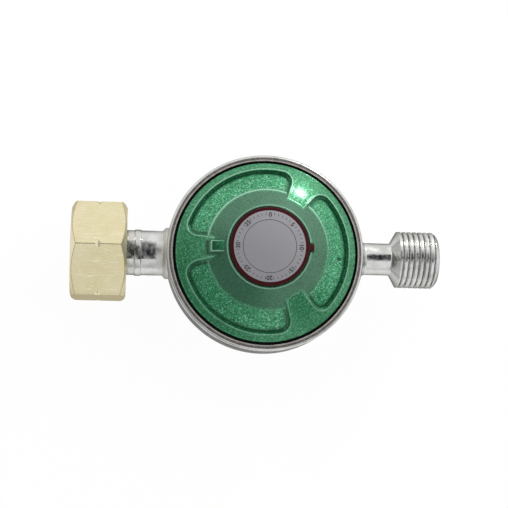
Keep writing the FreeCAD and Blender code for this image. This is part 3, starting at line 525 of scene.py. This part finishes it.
# %% Cut the notches and hollow the nut
middle = (NUT_MOUTH + NUT_BACK) / 2
for i in range(6):
    notch = block("notch", (-0.7, 0.7), (-6, 6), (-0.7, 0.7))
    notch.rotation_euler = (0, math.pi / 4, 0)
    only(notch)
    bpy.ops.object.transform_apply()
    notch.scale = (1.3, 1, 0.91)
    notch.location = (middle, 0, NUT_CORNER_R + 0.25)
    bpy.ops.object.transform_apply()
    notch.rotation_euler = (math.tau * i / 6, 0, 0)
    bpy.ops.object.transform_apply()
    cut(nut, notch)
NUT_THREAD_R = 9.74
NUT_PITCH = 1.814
rings = [(x, NUT_THREAD_R) for x in np.arange(NUT_MOUTH - 0.3, -0.05, 0.15)]
hollow = turn("hollow", [(NUT_MOUTH - 0.5, 0), (NUT_MOUTH - 0.5, NUT_THREAD_R + 1.1)] + rings
              + [(0, NUT_THREAD_R), (0, 11.0), (3.9, 11.0), (3.9, 6.6), (NUT_BACK + 0.5, 6.6),
                 (NUT_BACK + 0.5, 0)], along="X", steps=128)
places = vertices_of(hollow)
reach = np.hypot(places[:, 1], places[:, 2])
on_thread = np.abs(reach - NUT_THREAD_R) < 1e-3
wound = 1.1 * (1 - groove(places[:, 0], np.arctan2(places[:, 2], places[:, 1]), NUT_PITCH, hand=-1))
mouth = np.clip(1.1 - (places[:, 0] - NUT_MOUTH), 0, 1.1)
wanted = NUT_THREAD_R + np.maximum(wound * np.clip(-places[:, 0] / 0.5, 0, 1), mouth)
factor = np.where(on_thread, wanted / np.maximum(reach, 1e-6), 1)
places[:, 1:] *= factor[:, None]
move_vertices(hollow, places)
cut(nut, hollow)
print("faces of the nut:", len(nut.data.polygons))

# %% [markdown]
# ## What shows through the openings
# Through the nut's mouth one sees the black gasket in the nipple's face. With the cap off, the
# slotted brass screw lies at the bottom of the turret. All three are turned.

# %% Turn the gasket, the nipple and the setting screw
gasket = turn("gasket_ring", rounded([(0, 3.6, 0.2), (0, 6.8, 0.25), (1.6, 6.8), (1.6, 3.6)], steps=3),
              along="X", steps=96)
nipple = turn("union_nipple", rounded([
    (0.8, 6.85, 0.1), (0.8, 9.5, 0.4), (3.4, 9.5, 0.1), (3.4, 4.6), (11.9, 4.6, 0.5), (11.9, 3.2),
    (3.2, 3.2), (3.2, 2.4), (1.6, 2.4), (1.6, 6.85)], steps=3), along="X", steps=128)
screw = turn("setting_screw", rounded([(1.5, 12.7), (9.0, 12.7, 0.3), (9.0, 15.7, 0.35), (1.5, 15.7, 0.2)],
                                      steps=3), steps=128)
cut(screw, block("slot_cutter", (-10, 10), (-0.9, 0.9), (14.5, 17)))

# %% [markdown]
# ## The parts inside
# The works under the cover lift by 1.6 mm, and the setting screw moves the spring's upper seat.
# So the coil spring is wound in two halves that meet at its middle. The rubber diaphragm is a
# middle disc that lifts, a fold and a rim that stays clamped.

# %% Wind the spring in two halves
seated, topped = (corner.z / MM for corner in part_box("main_spring"))
WIRE_R = 0.65
WIRE_SIDES = 12
STEPS_A_TURN = 40
COIL_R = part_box("main_spring")[1].y / MM - WIRE_R
CLOSED_RISE = 0.75 * 2 * WIRE_R


def half_spring(name, first_turn, turns=1.75):
    """A ring of wire swept round the axis, then lifted turn by turn, with the end coil closed."""
    bpy.ops.object.select_all(action="DESELECT")
    bpy.ops.mesh.primitive_circle_add(vertices=WIRE_SIDES, radius=WIRE_R, location=(COIL_R, 0, 0),
                                      rotation=(math.pi / 2, 0, 0))
    piece = bpy.context.object
    piece.name = piece.data.name = name
    bpy.ops.object.transform_apply()
    bpy.ops.object.modifier_add(type="SCREW")
    sweep = piece.modifiers[-1]
    sweep.angle, sweep.steps = math.tau * turns, round(STEPS_A_TURN * turns)
    bpy.ops.object.modifier_apply(modifier=sweep.name)
    places = vertices_of(piece)
    turn_of = first_turn + np.arange(len(places)) // WIRE_SIDES / STEPS_A_TURN
    places[:, 2] += np.interp(turn_of, [0, 0.75, 2.75, 3.5],
                              [seated + WIRE_R, seated + WIRE_R + CLOSED_RISE,
                               topped - WIRE_R - CLOSED_RISE, topped - WIRE_R])
    move_vertices(piece, places)
    bpy.ops.object.mode_set(mode="EDIT")
    bpy.ops.mesh.select_all(action="SELECT")
    bpy.ops.mesh.fill_holes(sides=0)
    bpy.ops.mesh.select_all(action="SELECT")
    bpy.ops.mesh.normals_make_consistent(inside=False)
    bpy.ops.object.mode_set(mode="OBJECT")
    piece.rotation_euler = (0, 0, math.tau * first_turn)
    bpy.ops.object.transform_apply()
    return piece


lower_coil = half_spring("spring_lower_half", 0)
upper_coil = half_spring("spring_upper_half", 1.75)

# %% Turn the diaphragm's disc, fold and rim
DISC_Z = (2.8, 3.4)
WEB_Z = (4.5, 5.1)
SHANK_HOLE_R = 1.55
FOLD_R = (10.9, 12.9)
disc = turn("diaphragm_disc", [(SHANK_HOLE_R, DISC_Z[0]), (FOLD_R[0], DISC_Z[0]), (FOLD_R[0], DISC_Z[1]),
                               (SHANK_HOLE_R, DISC_Z[1])], steps=96)
fold = turn("diaphragm_fold", [(FOLD_R[0], DISC_Z[0]), (FOLD_R[0] + 0.3, DISC_Z[0]),
                               (FOLD_R[1] + 0.3, WEB_Z[0]), (FOLD_R[1] + 0.3, WEB_Z[1]),
                               (FOLD_R[1], WEB_Z[1]), (FOLD_R[0], DISC_Z[1])], steps=96)
rim = turn("diaphragm_rim", [(FOLD_R[1] + 0.3, WEB_Z[0]), (24.0, WEB_Z[0]), (24.0, 4.2), (26.4, 4.2),
                             (26.4, 5.4), (24.0, 5.4), (24.0, WEB_Z[1]), (FOLD_R[1] + 0.3, WEB_Z[1])],
           steps=96)

# %% [markdown]
# ## Fixing the pieces to their bodies
# Each new piece rides on the body that its solid belongs to, so it moves with every joint.

# %% Seat every piece
finish_piece(bowl, "regulator_body", ["casing"], x=BODY_X)
finish_piece(stub, "regulator_body", ["casing"])
finish_piece(outlet, "regulator_body", ["casing"], angle=50)
finish_piece(cover, "regulator_body", ["cover"], x=BODY_X, angle=40)
finish_piece(cap, "cap", ["cap"], x=BODY_X)
finish_piece(film, "cap", ["label"], x=BODY_X)
finish_piece(printing, "cap", ["label"], x=BODY_X)
finish_piece(nut, "union_nut", ["union_nut"], angle=12)
finish_piece(gasket, "regulator_body", ["inlet_gasket"])
finish_piece(nipple, "regulator_body", ["inlet_nipple"])
finish_piece(screw, "adjusting_screw", ["adjusting_screw"], x=BODY_X)
finish_piece(lower_coil, "regulator_body", ["main_spring"], x=BODY_X, angle=60)
finish_piece(upper_coil, "regulator_body", ["main_spring"], x=BODY_X, angle=60)
finish_piece(disc, "diaphragm_group", ["diaphragm"], x=BODY_X)
finish_piece(fold, "regulator_body", ["diaphragm"], x=BODY_X)
finish_piece(rim, "regulator_body", ["diaphragm"], x=BODY_X)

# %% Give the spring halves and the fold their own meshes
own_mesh(lower_coil)
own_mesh(upper_coil)
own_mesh(fold)

# %% [markdown]
# ## Painted shade, painted highlights and the turret's tone
# Painted shade darkens the foot of each kidney's wall, the ground beside the lug, the lug's top
# and the dip of the vent, and a painted shadow fills the groove under the lip. Painted highlights
# pale the kidneys' edges, the beads at the turret's foot, the lug's upper edges and the turret's
# rim, strongest on the north side, which faces the light. The turret was turned before painting,
# so it is smoother and greyer. These places follow the surface, so they are stored on the cover's own
# vertices.

# %% Store the painted shade and highlights on the cover
places = vertices_of(cover) / MM - np.array([BODY_X, 0, 0])
r = np.hypot(places[:, 0], places[:, 1])
turned_to = np.arctan2(places[:, 1], places[:, 0])
off_edge = past_edge(r, turned_to)
sunk = inside_field(r, turned_to)
ground = dome_height(r) * (1 - sunk) + field_height(r) * sunk
on_top = (np.abs(places[:, 2] - top_height(r, turned_to)) < 0.1) & (r > TURRET_R) & (r < 24.9)
above_ground = cone_height(r) - ground
off_turret = eased((0.3 - above_ground) / 0.6)
x, y, z = places.T
# Painted highlights are strongest on the north side, which faces the light.
rubbed = 0.25 + 0.75 * eased(0.5 + 0.75 * np.cos(turned_to - math.radians(105)))
beside_lug = np.hypot(np.clip(-LUG_END - 0.8 - x, 0, None), np.clip(np.abs(y) - 1.53, 0, None))
on_lug = (x < -TURRET_R) & (np.abs(y) < 1.55) & (z > LUG_TOP - 0.35) & ~on_top
thickness = {
    # Painted shade: the foot of each kidney's wall, the ground beside the lug, the lug's top and the
    # vent's dip.
    "pooled": np.maximum(0.85 * on_top * off_turret * np.exp(-((off_edge + 0.6) / 0.45) ** 2),
                         0.9 * on_top * (x < -12.4) * np.exp(-(beside_lug / 0.5) ** 2)
                         + 0.8 * on_lug * (z > LUG_TOP - 0.02)
                         + 0.8 * on_top * eased((0.75 - from_vent(r, turned_to)) / 0.3)),
    # Painted highlight: the kidneys' edges and foot beads, the lug's upper edges and the turret's rim.
    "thin": np.maximum(on_top * np.maximum(0.7 * off_turret * np.exp(-((off_edge - 0.5) / 0.15) ** 2),
                                           0.9 * rubbed * sunk * np.exp(-(above_ground / 0.08) ** 2))
                       * (0.45 + 0.55 * rubbed),
                       0.8 * (on_lug & (z < LUG_TOP - 0.02))
                       + 0.7 * (z > TURRET_TOP - 0.13) * (r < TURRET_R)),
    "turned": eased((above_ground + 0.1) / 0.5) * on_top,
    "sunk": on_top * sunk * off_turret,
    # Painted shadow: the groove between the cover's edge and the lip is painted near black.
    "grime": eased((r - 24.98) / 0.1) * eased((8.22 - z) / 0.3)}


def store(piece, name, values):
    """Keeps one number for each vertex, for a finish to read."""
    layer = piece.data.attributes.new(name, "FLOAT", "POINT")
    layer.data.foreach_set("value", np.asarray(values, dtype=np.float32))
    print(piece.name, name, "covers", int((values > 0.5).sum()), "vertices")


for name, values in thickness.items():
    store(cover, name, values)

# %% Store where shade is painted in the castings
places = vertices_of(outlet) / MM
reach = np.hypot(places[:, 1], places[:, 2])
wound = (places[:, 0] > THREAD_START + 0.2) & (places[:, 0] < OUTLET_END - 0.9) & (reach > 6.9)
# Painted shade: the roots of the outlet's thread are painted darker.
store(outlet, "grime", wound * 0.4 * np.clip((THREAD_R - 0.1 - reach) / THREAD_DEPTH, 0, 1) ** 1.5)
# Painted shadow: the lip's inner wall, down in the gap to the cover, is painted near black.
places = vertices_of(bowl) / MM
store(bowl, "grime", 1.0 * (np.hypot(places[:, 0] - BODY_X, places[:, 1]) < 25.72) * (places[:, 2] > 5))

# %% [markdown]
# ## Finishes
# Colours are written as they look on a screen, and one function turns them to linear light.
# One helper adds a node with its settings and links. Pattern sizes are given in millimetres.

# %% Helpers for finishes
def paint(code):
    """A screen colour such as #2f7d57 as linear red, green, blue and alpha."""
    parts = [int(code[i:i + 2], 16) / 255 for i in (1, 3, 5)]
    return tuple(v / 12.92 if v <= 0.04045 else ((v + 0.055) / 1.055) ** 2.4 for v in parts) + (1,)


def add(tree, kind, inputs=None, **settings):
    """Adds a node. Settings are its own; inputs are values, or outputs of other nodes to link."""
    node = tree.nodes.new(kind)
    for name, value in settings.items():
        setattr(node, name, value)
    for name, value in (inputs or {}).items():
        if isinstance(value, bpy.types.NodeSocket):
            tree.links.new(value, node.inputs[name])
        else:
            node.inputs[name].default_value = value
    return node


def new_finish(name, **shader_inputs):
    """An empty finish with its shader, and the piece's own coordinates."""
    finish = bpy.data.materials.new(name)
    finish.use_nodes = True
    tree = finish.node_tree
    tree.nodes.clear()
    shader = add(tree, "ShaderNodeBsdfPrincipled", shader_inputs)
    add(tree, "ShaderNodeOutputMaterial", {"Surface": shader.outputs["BSDF"]})
    place = add(tree, "ShaderNodeTexCoord").outputs["Object"]
    return finish, tree, shader, place


def grain(size_mm):
    """Noise scale that gives features of about this size."""
    return 1 / (size_mm * MM)


def blotches(tree, place, size_mm, detail=2.0, rough=0.5):
    return add(tree, "ShaderNodeTexNoise", {"Vector": place, "Scale": grain(size_mm), "Detail": detail,
                                            "Roughness": rough}).outputs["Fac"]


def between(tree, fac, low_value, high_value, start=0.3, end=0.7):
    return add(tree, "ShaderNodeMapRange", {"Value": fac, "From Min": start, "From Max": end,
                                            "To Min": low_value, "To Max": high_value}).outputs["Result"]


def colours(tree, fac, first, second):
    """A mix of two colours, each a screen colour or another node's output."""
    mix = add(tree, "ShaderNodeMix", data_type="RGBA")
    tree.links.new(fac, mix.inputs[0])
    for socket, colour in ((mix.inputs[6], first), (mix.inputs[7], second)):
        if isinstance(colour, str):
            socket.default_value = paint(colour)
        else:
            tree.links.new(colour, socket)
    return mix.outputs[2]


def link(tree, output, shader, name):
    tree.links.new(output, shader.inputs[name])


# %% [markdown]
# ### Die-cast zinc
# Zinc alloy from a steel mould, tumbled bright. It has a soft shine, shallow dents and a faint
# orange-peel skin, and it is a little darker where the skin is rough. The top of the lip was
# pressed over by a roller, which leaves a dull ring with fine marks across it. That ring is also
# painted darker, a painted reflection of the dark around it. A painted highlight runs round the
# lip's inner corner, and painted shadow blackens its inner edge, the wall down to the cover and
# the roots of the outlet's thread.

# %% Die-cast zinc
zinc, tree, shader, place = new_finish(
    "tumbled_die_cast_zinc", **{"Metallic": 1.0, "Specular Tint": (0.2, 0.2, 0.2, 1)})
skin = blotches(tree, place, 0.7, 4.0, 0.65)
stains = blotches(tree, place, 4.0, 3.0)
plain_zinc = colours(tree, between(tree, stains, 0, 1, 0.35, 0.65), "#cbcbc8", "#e2e2e0")
spoke = add(tree, "ShaderNodeMapping", {"Vector": place, "Location": (-BODY_X * MM, 0, 0),
                                        "Scale": (1, 1, 0)}).outputs["Vector"]
radius = add(tree, "ShaderNodeVectorMath", {0: spoke}, operation="LENGTH").outputs["Value"]
outward = add(tree, "ShaderNodeVectorMath", {0: spoke}, operation="NORMALIZE").outputs["Vector"]
up = add(tree, "ShaderNodeSeparateXYZ", {"Vector": place})
high_up = between(tree, up.outputs["Z"], 0, 1, 6.9 * MM, 7.3 * MM)
in_ring = between(tree, radius, 1, 0, 26.8 * MM, 27.05 * MM)
rolled = add(tree, "ShaderNodeMath", {0: high_up, 1: in_ring}, operation="MULTIPLY").outputs["Value"]
MARK_MM = 0.35
marks = add(tree, "ShaderNodeTexNoise", {"Vector": outward, "Scale": 26.3 / MARK_MM, "Detail": 2.0,
                                         "Roughness": 0.6}).outputs["Fac"]
# The marks across the rolled ring are its own; its darker tone is a painted reflection.
rolled_zinc = colours(tree, between(tree, marks, 0, 1, 0.36, 0.64), "#6f6a67", "#96918e")
# Painted highlight: a pale line round the lip's inner corner.
bright_line = colours(tree, between(tree, radius, 1, 0, 26.2 * MM, 26.32 * MM), rolled_zinc, "#cdc9c4")
# Painted shadow: a near-black ring at the lip's inner edge, over the shaded gap to the cover.
lip_ring = colours(tree, between(tree, radius, 1, 0, 25.84 * MM, 25.92 * MM), bright_line, "#1a1815")
lipped = colours(tree, rolled, plain_zinc, lip_ring)
# Painted shade: the lip's inner wall and the thread's roots are darkened from a stored value.
grime = add(tree, "ShaderNodeAttribute", attribute_name="grime").outputs["Fac"]
link(tree, colours(tree, grime, lipped, "#17150f"), shader, "Base Color")
from_root = add(tree, "ShaderNodeMath", {0: up.outputs["X"], 1: (WALL_IN - 0.7) * MM},
                operation="SUBTRACT")
off_root = add(tree, "ShaderNodeMath", {0: from_root.outputs["Value"]}, operation="ABSOLUTE")
at_root = between(tree, off_root.outputs["Value"], 0.3, 0, 1.0 * MM, 2.6 * MM)
tumbled = between(tree, blotches(tree, place, 1.8, 1.0), 0.15, 0.3, 0.38, 0.62)
smoothness = add(tree, "ShaderNodeMath", {0: tumbled, 1: at_root}, operation="ADD").outputs["Value"]
at_thread = between(tree, up.outputs["X"], 0, 0.25, (THREAD_START - 0.3) * MM,
                    (THREAD_START + 0.3) * MM)
worn_or_cut = add(tree, "ShaderNodeMath", {0: rolled, 1: at_thread}, operation="MAXIMUM")
dulled = between(tree, worn_or_cut.outputs["Value"], 0, 0.3, 0, 1)
roughness = add(tree, "ShaderNodeMath", {0: smoothness, 1: dulled}, operation="ADD")
link(tree, roughness.outputs["Value"], shader, "Roughness")
dents = add(tree, "ShaderNodeBump", {"Height": skin, "Strength": 0.3, "Distance": 0.06 * MM})
waves = add(tree, "ShaderNodeBump", {"Height": blotches(tree, place, 2.2, 1.0), "Strength": 0.35,
                                     "Distance": 0.2 * MM, "Normal": dents.outputs["Normal"]})
link(tree, waves.outputs["Normal"], shader, "Normal")

# %% [markdown]
# ### Metallic green enamel
# A baked enamel with aluminium flakes under a clear layer. Each flake is tilted its own way, so
# the green sparkles and looks paler where it faces the light. The brightest flakes are also
# painted pale as painted glints, more so in the kidneys. Real flakes are far finer; they
# are drawn 0.25 mm across, as coarse as they need to be to show.

# %% Green enamel
green, tree, shader, place = new_finish(
    "metallic_green_enamel", **{"Metallic": 0.5, "Coat Weight": 0.5, "Coat Roughness": 0.14})
FLAKE_MM = 0.25
stored = {name: add(tree, "ShaderNodeAttribute", attribute_name=name).outputs["Fac"]
          for name in thickness}
flakes = add(tree, "ShaderNodeTexVoronoi", {"Vector": place, "Scale": grain(FLAKE_MM)})
shade = add(tree, "ShaderNodeSeparateColor", {"Color": flakes.outputs["Color"]}).outputs["Red"]
cloud = blotches(tree, place, 2.2, 3.0)
even = colours(tree, shade, "#0b5f35", "#47ad79")
strong = colours(tree, shade, "#00562c", "#50cb8e")
flaked = colours(tree, stored["sunk"], even, strong)
# Painted glints: the brightest flakes are painted pale, more so in the kidneys.
bright_flakes = between(tree, shade, 0, 0.9, 0.83, 0.95)
showing = add(tree, "ShaderNodeMath", {0: bright_flakes, 1: between(tree, stored["sunk"], 0.4, 1, 0, 1)},
              operation="MULTIPLY").outputs["Value"]
sparkle = colours(tree, showing, flaked, "#a3e6c5")
clouded = colours(tree, between(tree, cloud, 0.0, 0.35), sparkle, "#15723f")
# Painted shade in the kidneys' feet, beside the lug, on the lug's top and in the vent's dip.
pooled = colours(tree, stored["pooled"], clouded, "#05452a")
quiet = colours(tree, shade, "#1e6341", "#467f61")
turret = colours(tree, stored["turned"], pooled, quiet)
# Painted highlights on the edges, the lug and the turret's rim.
edged = colours(tree, stored["thin"], turret, "#a9dcc2")
# Painted shadow in the groove under the lip.
link(tree, colours(tree, stored["grime"], edged, "#050b07"), shader, "Base Color")
link(tree, between(tree, shade, 0.46, 0.28, 0, 1), shader, "Roughness")
tilt = add(tree, "ShaderNodeBump", {"Height": shade, "Strength": 0.45, "Distance": 0.04 * MM})
link(tree, tilt.outputs["Normal"], shader, "Normal")

# %% [markdown]
# ### Pale brass
# Bar brass that was machined and pickled, so it is straw-coloured. It carries fine drawing
# lines along the bar and a few short scratches. Faces turned towards the bar's ends, the chamfers
# and the notches, are painted brighter as a painted highlight, and a darker line is drawn beside each arc.

# %% Pale brass
brass, tree, shader, place = new_finish(
    "pale_machined_brass", **{"Metallic": 1.0, "Specular Tint": (0.5, 0.46, 0.38, 1)})
long_lines = add(tree, "ShaderNodeMapping", {"Vector": place, "Scale": (0.08, 1.0, 1.0)}).outputs["Vector"]
lines = blotches(tree, long_lines, 0.3, 3.0, 0.6)
speck = blotches(tree, place, 0.35, 3.0, 0.7)
patches = blotches(tree, place, 4.5, 2.0)
worn = colours(tree, between(tree, patches, 0, 1, 0.3, 0.7), "#e3d8ad", "#eae0bc")
drawn = colours(tree, between(tree, lines, 0, 0.7, 0.57, 0.66), worn, "#f4eecd")
short_lines = add(tree, "ShaderNodeMapping", {"Vector": place,
                                              "Scale": (0.16, 1.0, 1.0)}).outputs["Vector"]
nicks = blotches(tree, short_lines, 0.5, 1.0)
scratched = colours(tree, between(tree, nicks, 0, 0.6, 0.69, 0.73), drawn, "#fffdf0")
specked = colours(tree, between(tree, speck, 0, 0.55, 0.58, 0.75), scratched, "#c8ba86")
own_normal = add(tree, "ShaderNodeTexCoord").outputs["Normal"]
end_on = add(tree, "ShaderNodeSeparateXYZ", {"Vector": own_normal}).outputs["X"]
either_end = add(tree, "ShaderNodeMath", {0: end_on}, operation="ABSOLUTE").outputs["Value"]
# Painted highlight: faces turned towards the bar's ends are painted paler.
cut_across = colours(tree, between(tree, either_end, 0, 0.6, 0.3, 0.45), specked, "#f8f2da")
off_axis = add(tree, "ShaderNodeMapping", {"Vector": place, "Scale": (0, 1, 1)}).outputs["Vector"]
bar_radius = add(tree, "ShaderNodeVectorMath", {0: off_axis}, operation="LENGTH").outputs["Value"]
bar_x = add(tree, "ShaderNodeSeparateXYZ", {"Vector": place}).outputs["X"]
from_middle = add(tree, "ShaderNodeMath", {0: bar_x, 1: middle * MM}, operation="SUBTRACT")
either_way = add(tree, "ShaderNodeMath", {0: from_middle.outputs["Value"]},
                 operation="ABSOLUTE").outputs["Value"]
half_bar = (NUT_BACK - NUT_MOUTH) / 2
chamfer_radius = between(tree, either_way, (FACE_R + half_bar * math.sqrt(3)) * MM, FACE_R * MM,
                         0, half_bar * MM)
inside_arc = add(tree, "ShaderNodeMath", {0: bar_radius, 1: chamfer_radius}, operation="SUBTRACT")
beside_arc = between(tree, inside_arc.outputs["Value"], 0, 1, -0.42 * MM, -0.16 * MM)
on_flat = between(tree, either_end, 0.7, 0, 0.1, 0.3)
on_nut = between(tree, either_way, 1, 0, (half_bar + 0.1) * MM, (half_bar + 0.4) * MM)
nut_flat = add(tree, "ShaderNodeMath", {0: on_flat, 1: on_nut}, operation="MULTIPLY")
arc_line = add(tree, "ShaderNodeMath", {0: beside_arc, 1: nut_flat.outputs["Value"]},
               operation="MULTIPLY")
link(tree, colours(tree, arc_line.outputs["Value"], cut_across, "#927f48"), shader, "Base Color")
link(tree, between(tree, speck, 0.24, 0.4), shader, "Roughness")
brushed = add(tree, "ShaderNodeBump", {"Height": lines, "Strength": 0.3, "Distance": 0.03 * MM})
pitted = add(tree, "ShaderNodeBump", {"Height": speck, "Strength": 0.2, "Distance": 0.03 * MM,
                                      "Normal": brushed.outputs["Normal"]})
link(tree, pitted.outputs["Normal"], shader, "Normal")

# %% [markdown]
# ### Plastic, film, rubber and steel
# The cap is moulded in crimson ABS with a fine spark texture. The label is a silver-grey
# polyester film, printed in dark grey. The gaskets are nitrile rubber, and the hidden small
# parts are zinc-plated steel.

# %% The other finishes
crimson, tree, shader, place = new_finish("crimson_moulded_abs", **{"Specular IOR Level": 0.18})
speck = blotches(tree, place, 0.25, 2.0)
link(tree, colours(tree, speck, "#38050d", "#4a0b15"), shader, "Base Color")
link(tree, between(tree, speck, 0.38, 0.5), shader, "Roughness")
spark = add(tree, "ShaderNodeBump", {"Height": speck, "Strength": 0.2, "Distance": 0.02 * MM})
link(tree, spark.outputs["Normal"], shader, "Normal")

silver_film, tree, shader, place = new_finish("silver_polyester_film", Metallic=0.35)
fibre = blotches(tree, place, 0.3, 3.0)
link(tree, colours(tree, fibre, "#96959a", "#abaaae"), shader, "Base Color")
link(tree, between(tree, fibre, 0.45, 0.6), shader, "Roughness")

ink_finish, tree, shader, place = new_finish("dark_printing_ink", Roughness=0.55)
link(tree, colours(tree, blotches(tree, place, 0.4), "#19191c", "#2a2a2e"), shader, "Base Color")

rubber, tree, shader, place = new_finish("nitrile_rubber", Roughness=0.7)
dull = blotches(tree, place, 0.5, 3.0)
link(tree, colours(tree, dull, "#17181a", "#26272a"), shader, "Base Color")

steel, tree, shader, place = new_finish("zinc_plated_steel", Metallic=1.0)
plating = blotches(tree, place, 0.8, 3.0)
link(tree, colours(tree, plating, "#b4b7ba", "#cccfd2"), shader, "Base Color")
link(tree, between(tree, plating, 0.25, 0.4), shader, "Roughness")

acetal, tree, shader, place = new_finish("moulded_acetal", Roughness=0.45)
link(tree, colours(tree, blotches(tree, place, 1.0), "#c9c9c4", "#d6d6d1"), shader, "Base Color")

# %% [markdown]
# ## Laying the finishes on
# New pieces get theirs by name. The hidden solids keep their meshes and take the finish of
# their material slot.

# %% Lay the finishes on
def coat(piece, finish):
    piece.data.materials.clear()
    piece.data.materials.append(finish)


for piece, finish in ((bowl, zinc), (stub, zinc), (outlet, zinc), (cover, green), (cap, crimson),
                      (film, silver_film), (printing, ink_finish), (nut, brass), (gasket, rubber),
                      (nipple, brass), (screw, brass), (lower_coil, steel), (upper_coil, steel),
                      (disc, rubber), (fold, rubber), (rim, rubber)):
    coat(piece, finish)
of_slot = {"zinc": zinc, "green_enamel": green, "crimson_plastic": crimson, "label_film": silver_film,
           "brass": brass, "steel": steel, "rubber": rubber, "grey_plastic": acetal}
for part in frame["record"]["subparts"]:
    coat(nodes[part["node"]], of_slot[part["material_slot"]])

# %% [markdown]
# ## The studio
# A white table, bright white walls all round, and a dark patch overhead where the camera
# stands, because polished metal shows whatever is around it. The walls are grey low down at the
# left and in one corner at the near right. Matt surfaces get more light from the far right side,
# where the window is. One soft lamp stands beyond it and puts the bright spot on the dome.

# %% Lay the table
bpy.ops.object.select_all(action="DESELECT")
bpy.ops.mesh.primitive_plane_add(size=3, location=(0, 0, -15.1 * MM))
table = bpy.context.object
table.name = "table"
bpy.ops.object.transform_apply()
table_top = bpy.data.materials.new("white_table")
table_top.use_nodes = True
tree = table_top.node_tree
tree.nodes.clear()
seen = add(tree, "ShaderNodeLightPath")
seen_or_mirrored = add(tree, "ShaderNodeMath", {0: seen.outputs["Is Camera Ray"],
                                                1: seen.outputs["Is Glossy Ray"]}, operation="MAXIMUM")
any_ray = add(tree, "ShaderNodeMath", {0: seen_or_mirrored.outputs["Value"],
                                       1: seen.outputs["Is Transmission Ray"]}, operation="MAXIMUM")
share = add(tree, "ShaderNodeMath", {0: any_ray.outputs["Value"], 1: 0.93}, operation="MULTIPLY")
matt = add(tree, "ShaderNodeBsdfDiffuse", {"Color": paint("#f4f4f4")})
white = add(tree, "ShaderNodeEmission", {"Color": (1, 1, 1, 1), "Strength": 1.02})
mixed = add(tree, "ShaderNodeMixShader", {0: share.outputs["Value"], 1: matt.outputs["BSDF"],
                                          2: white.outputs["Emission"]})
add(tree, "ShaderNodeOutputMaterial", {"Surface": mixed.outputs["Shader"]})
coat(table, table_top)
table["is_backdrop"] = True

# %% Light the studio
world = bpy.data.worlds.new("studio") if bpy.context.scene.world is None else bpy.context.scene.world
bpy.context.scene.world = world
world.use_nodes = True
tree = world.node_tree
tree.nodes.clear()
way = add(tree, "ShaderNodeTexCoord").outputs["Generated"]


def patch(towards, inner, outer):
    """1 within some degrees of a direction, easing to 0 further out."""
    facing = add(tree, "ShaderNodeVectorMath", {0: way, 1: Vector(towards).normalized()},
                 operation="DOT_PRODUCT").outputs["Value"]
    return between(tree, facing, 0, 1, math.cos(math.radians(outer)), math.cos(math.radians(inner)))


low_left = patch((-0.8, -0.5, -0.3), 50, 77)
walls = colours(tree, low_left, "#ffffff", "#8f9396")
cornered = colours(tree, patch((0.67, -0.54, 0.5), 10, 24), walls, "#6f7376")
around = colours(tree, patch((0.03, 0.1, 0.99), 21, 25), cornered, "#20242a")
seen = add(tree, "ShaderNodeLightPath")
mirrored = add(tree, "ShaderNodeMath", {0: seen.outputs["Is Camera Ray"],
                                        1: seen.outputs["Is Glossy Ray"]}, operation="MAXIMUM")
window_side = add(tree, "ShaderNodeVectorMath", {0: way, 1: (0.36, 0.72, 0.6)},
                  operation="DOT_PRODUCT").outputs["Value"]
soft_level = between(tree, window_side, 0.15, 1.4, -1, 1)
sharp = add(tree, "ShaderNodeMath", {0: mirrored.outputs["Value"], 1: seen.outputs["Is Transmission Ray"]},
            operation="MAXIMUM").outputs["Value"]
level = add(tree, "ShaderNodeMix", {0: sharp, 2: soft_level, 3: 0.95})
sky = add(tree, "ShaderNodeBackground", {"Color": around, "Strength": level.outputs[0]})
add(tree, "ShaderNodeOutputWorld", {"Surface": sky.outputs["Background"]})


def lamp(name, at_mm, size_mm, watts):
    """A round soft lamp that points at the middle of the regulator."""
    place = Vector(at_mm) * MM
    bpy.ops.object.light_add(type="AREA", location=place)
    light = bpy.context.object
    light.name = name
    light.data.shape = "DISK"
    light.data.size = size_mm * MM
    light.data.energy = watts
    aim = Vector((BODY_X, 0, 8)) * MM - place
    light.rotation_euler = aim.to_track_quat("-Z", "Y").to_euler()
    return light


lamp("upper_right_softbox", (BODY_X + 290, 505, 183), 82, 0.9)
print("lamps set")

# %% Use the plain colour transform
bpy.context.scene.view_settings.view_transform = "Standard"

# %% Write down both sizes
dressed_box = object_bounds()
for name, box in (("solids", cad_box), ("dressed", dressed_box)):
    print(name, [round(v / MM, 2) for v in box[0]], [round(v / MM, 2) for v in box[1]])
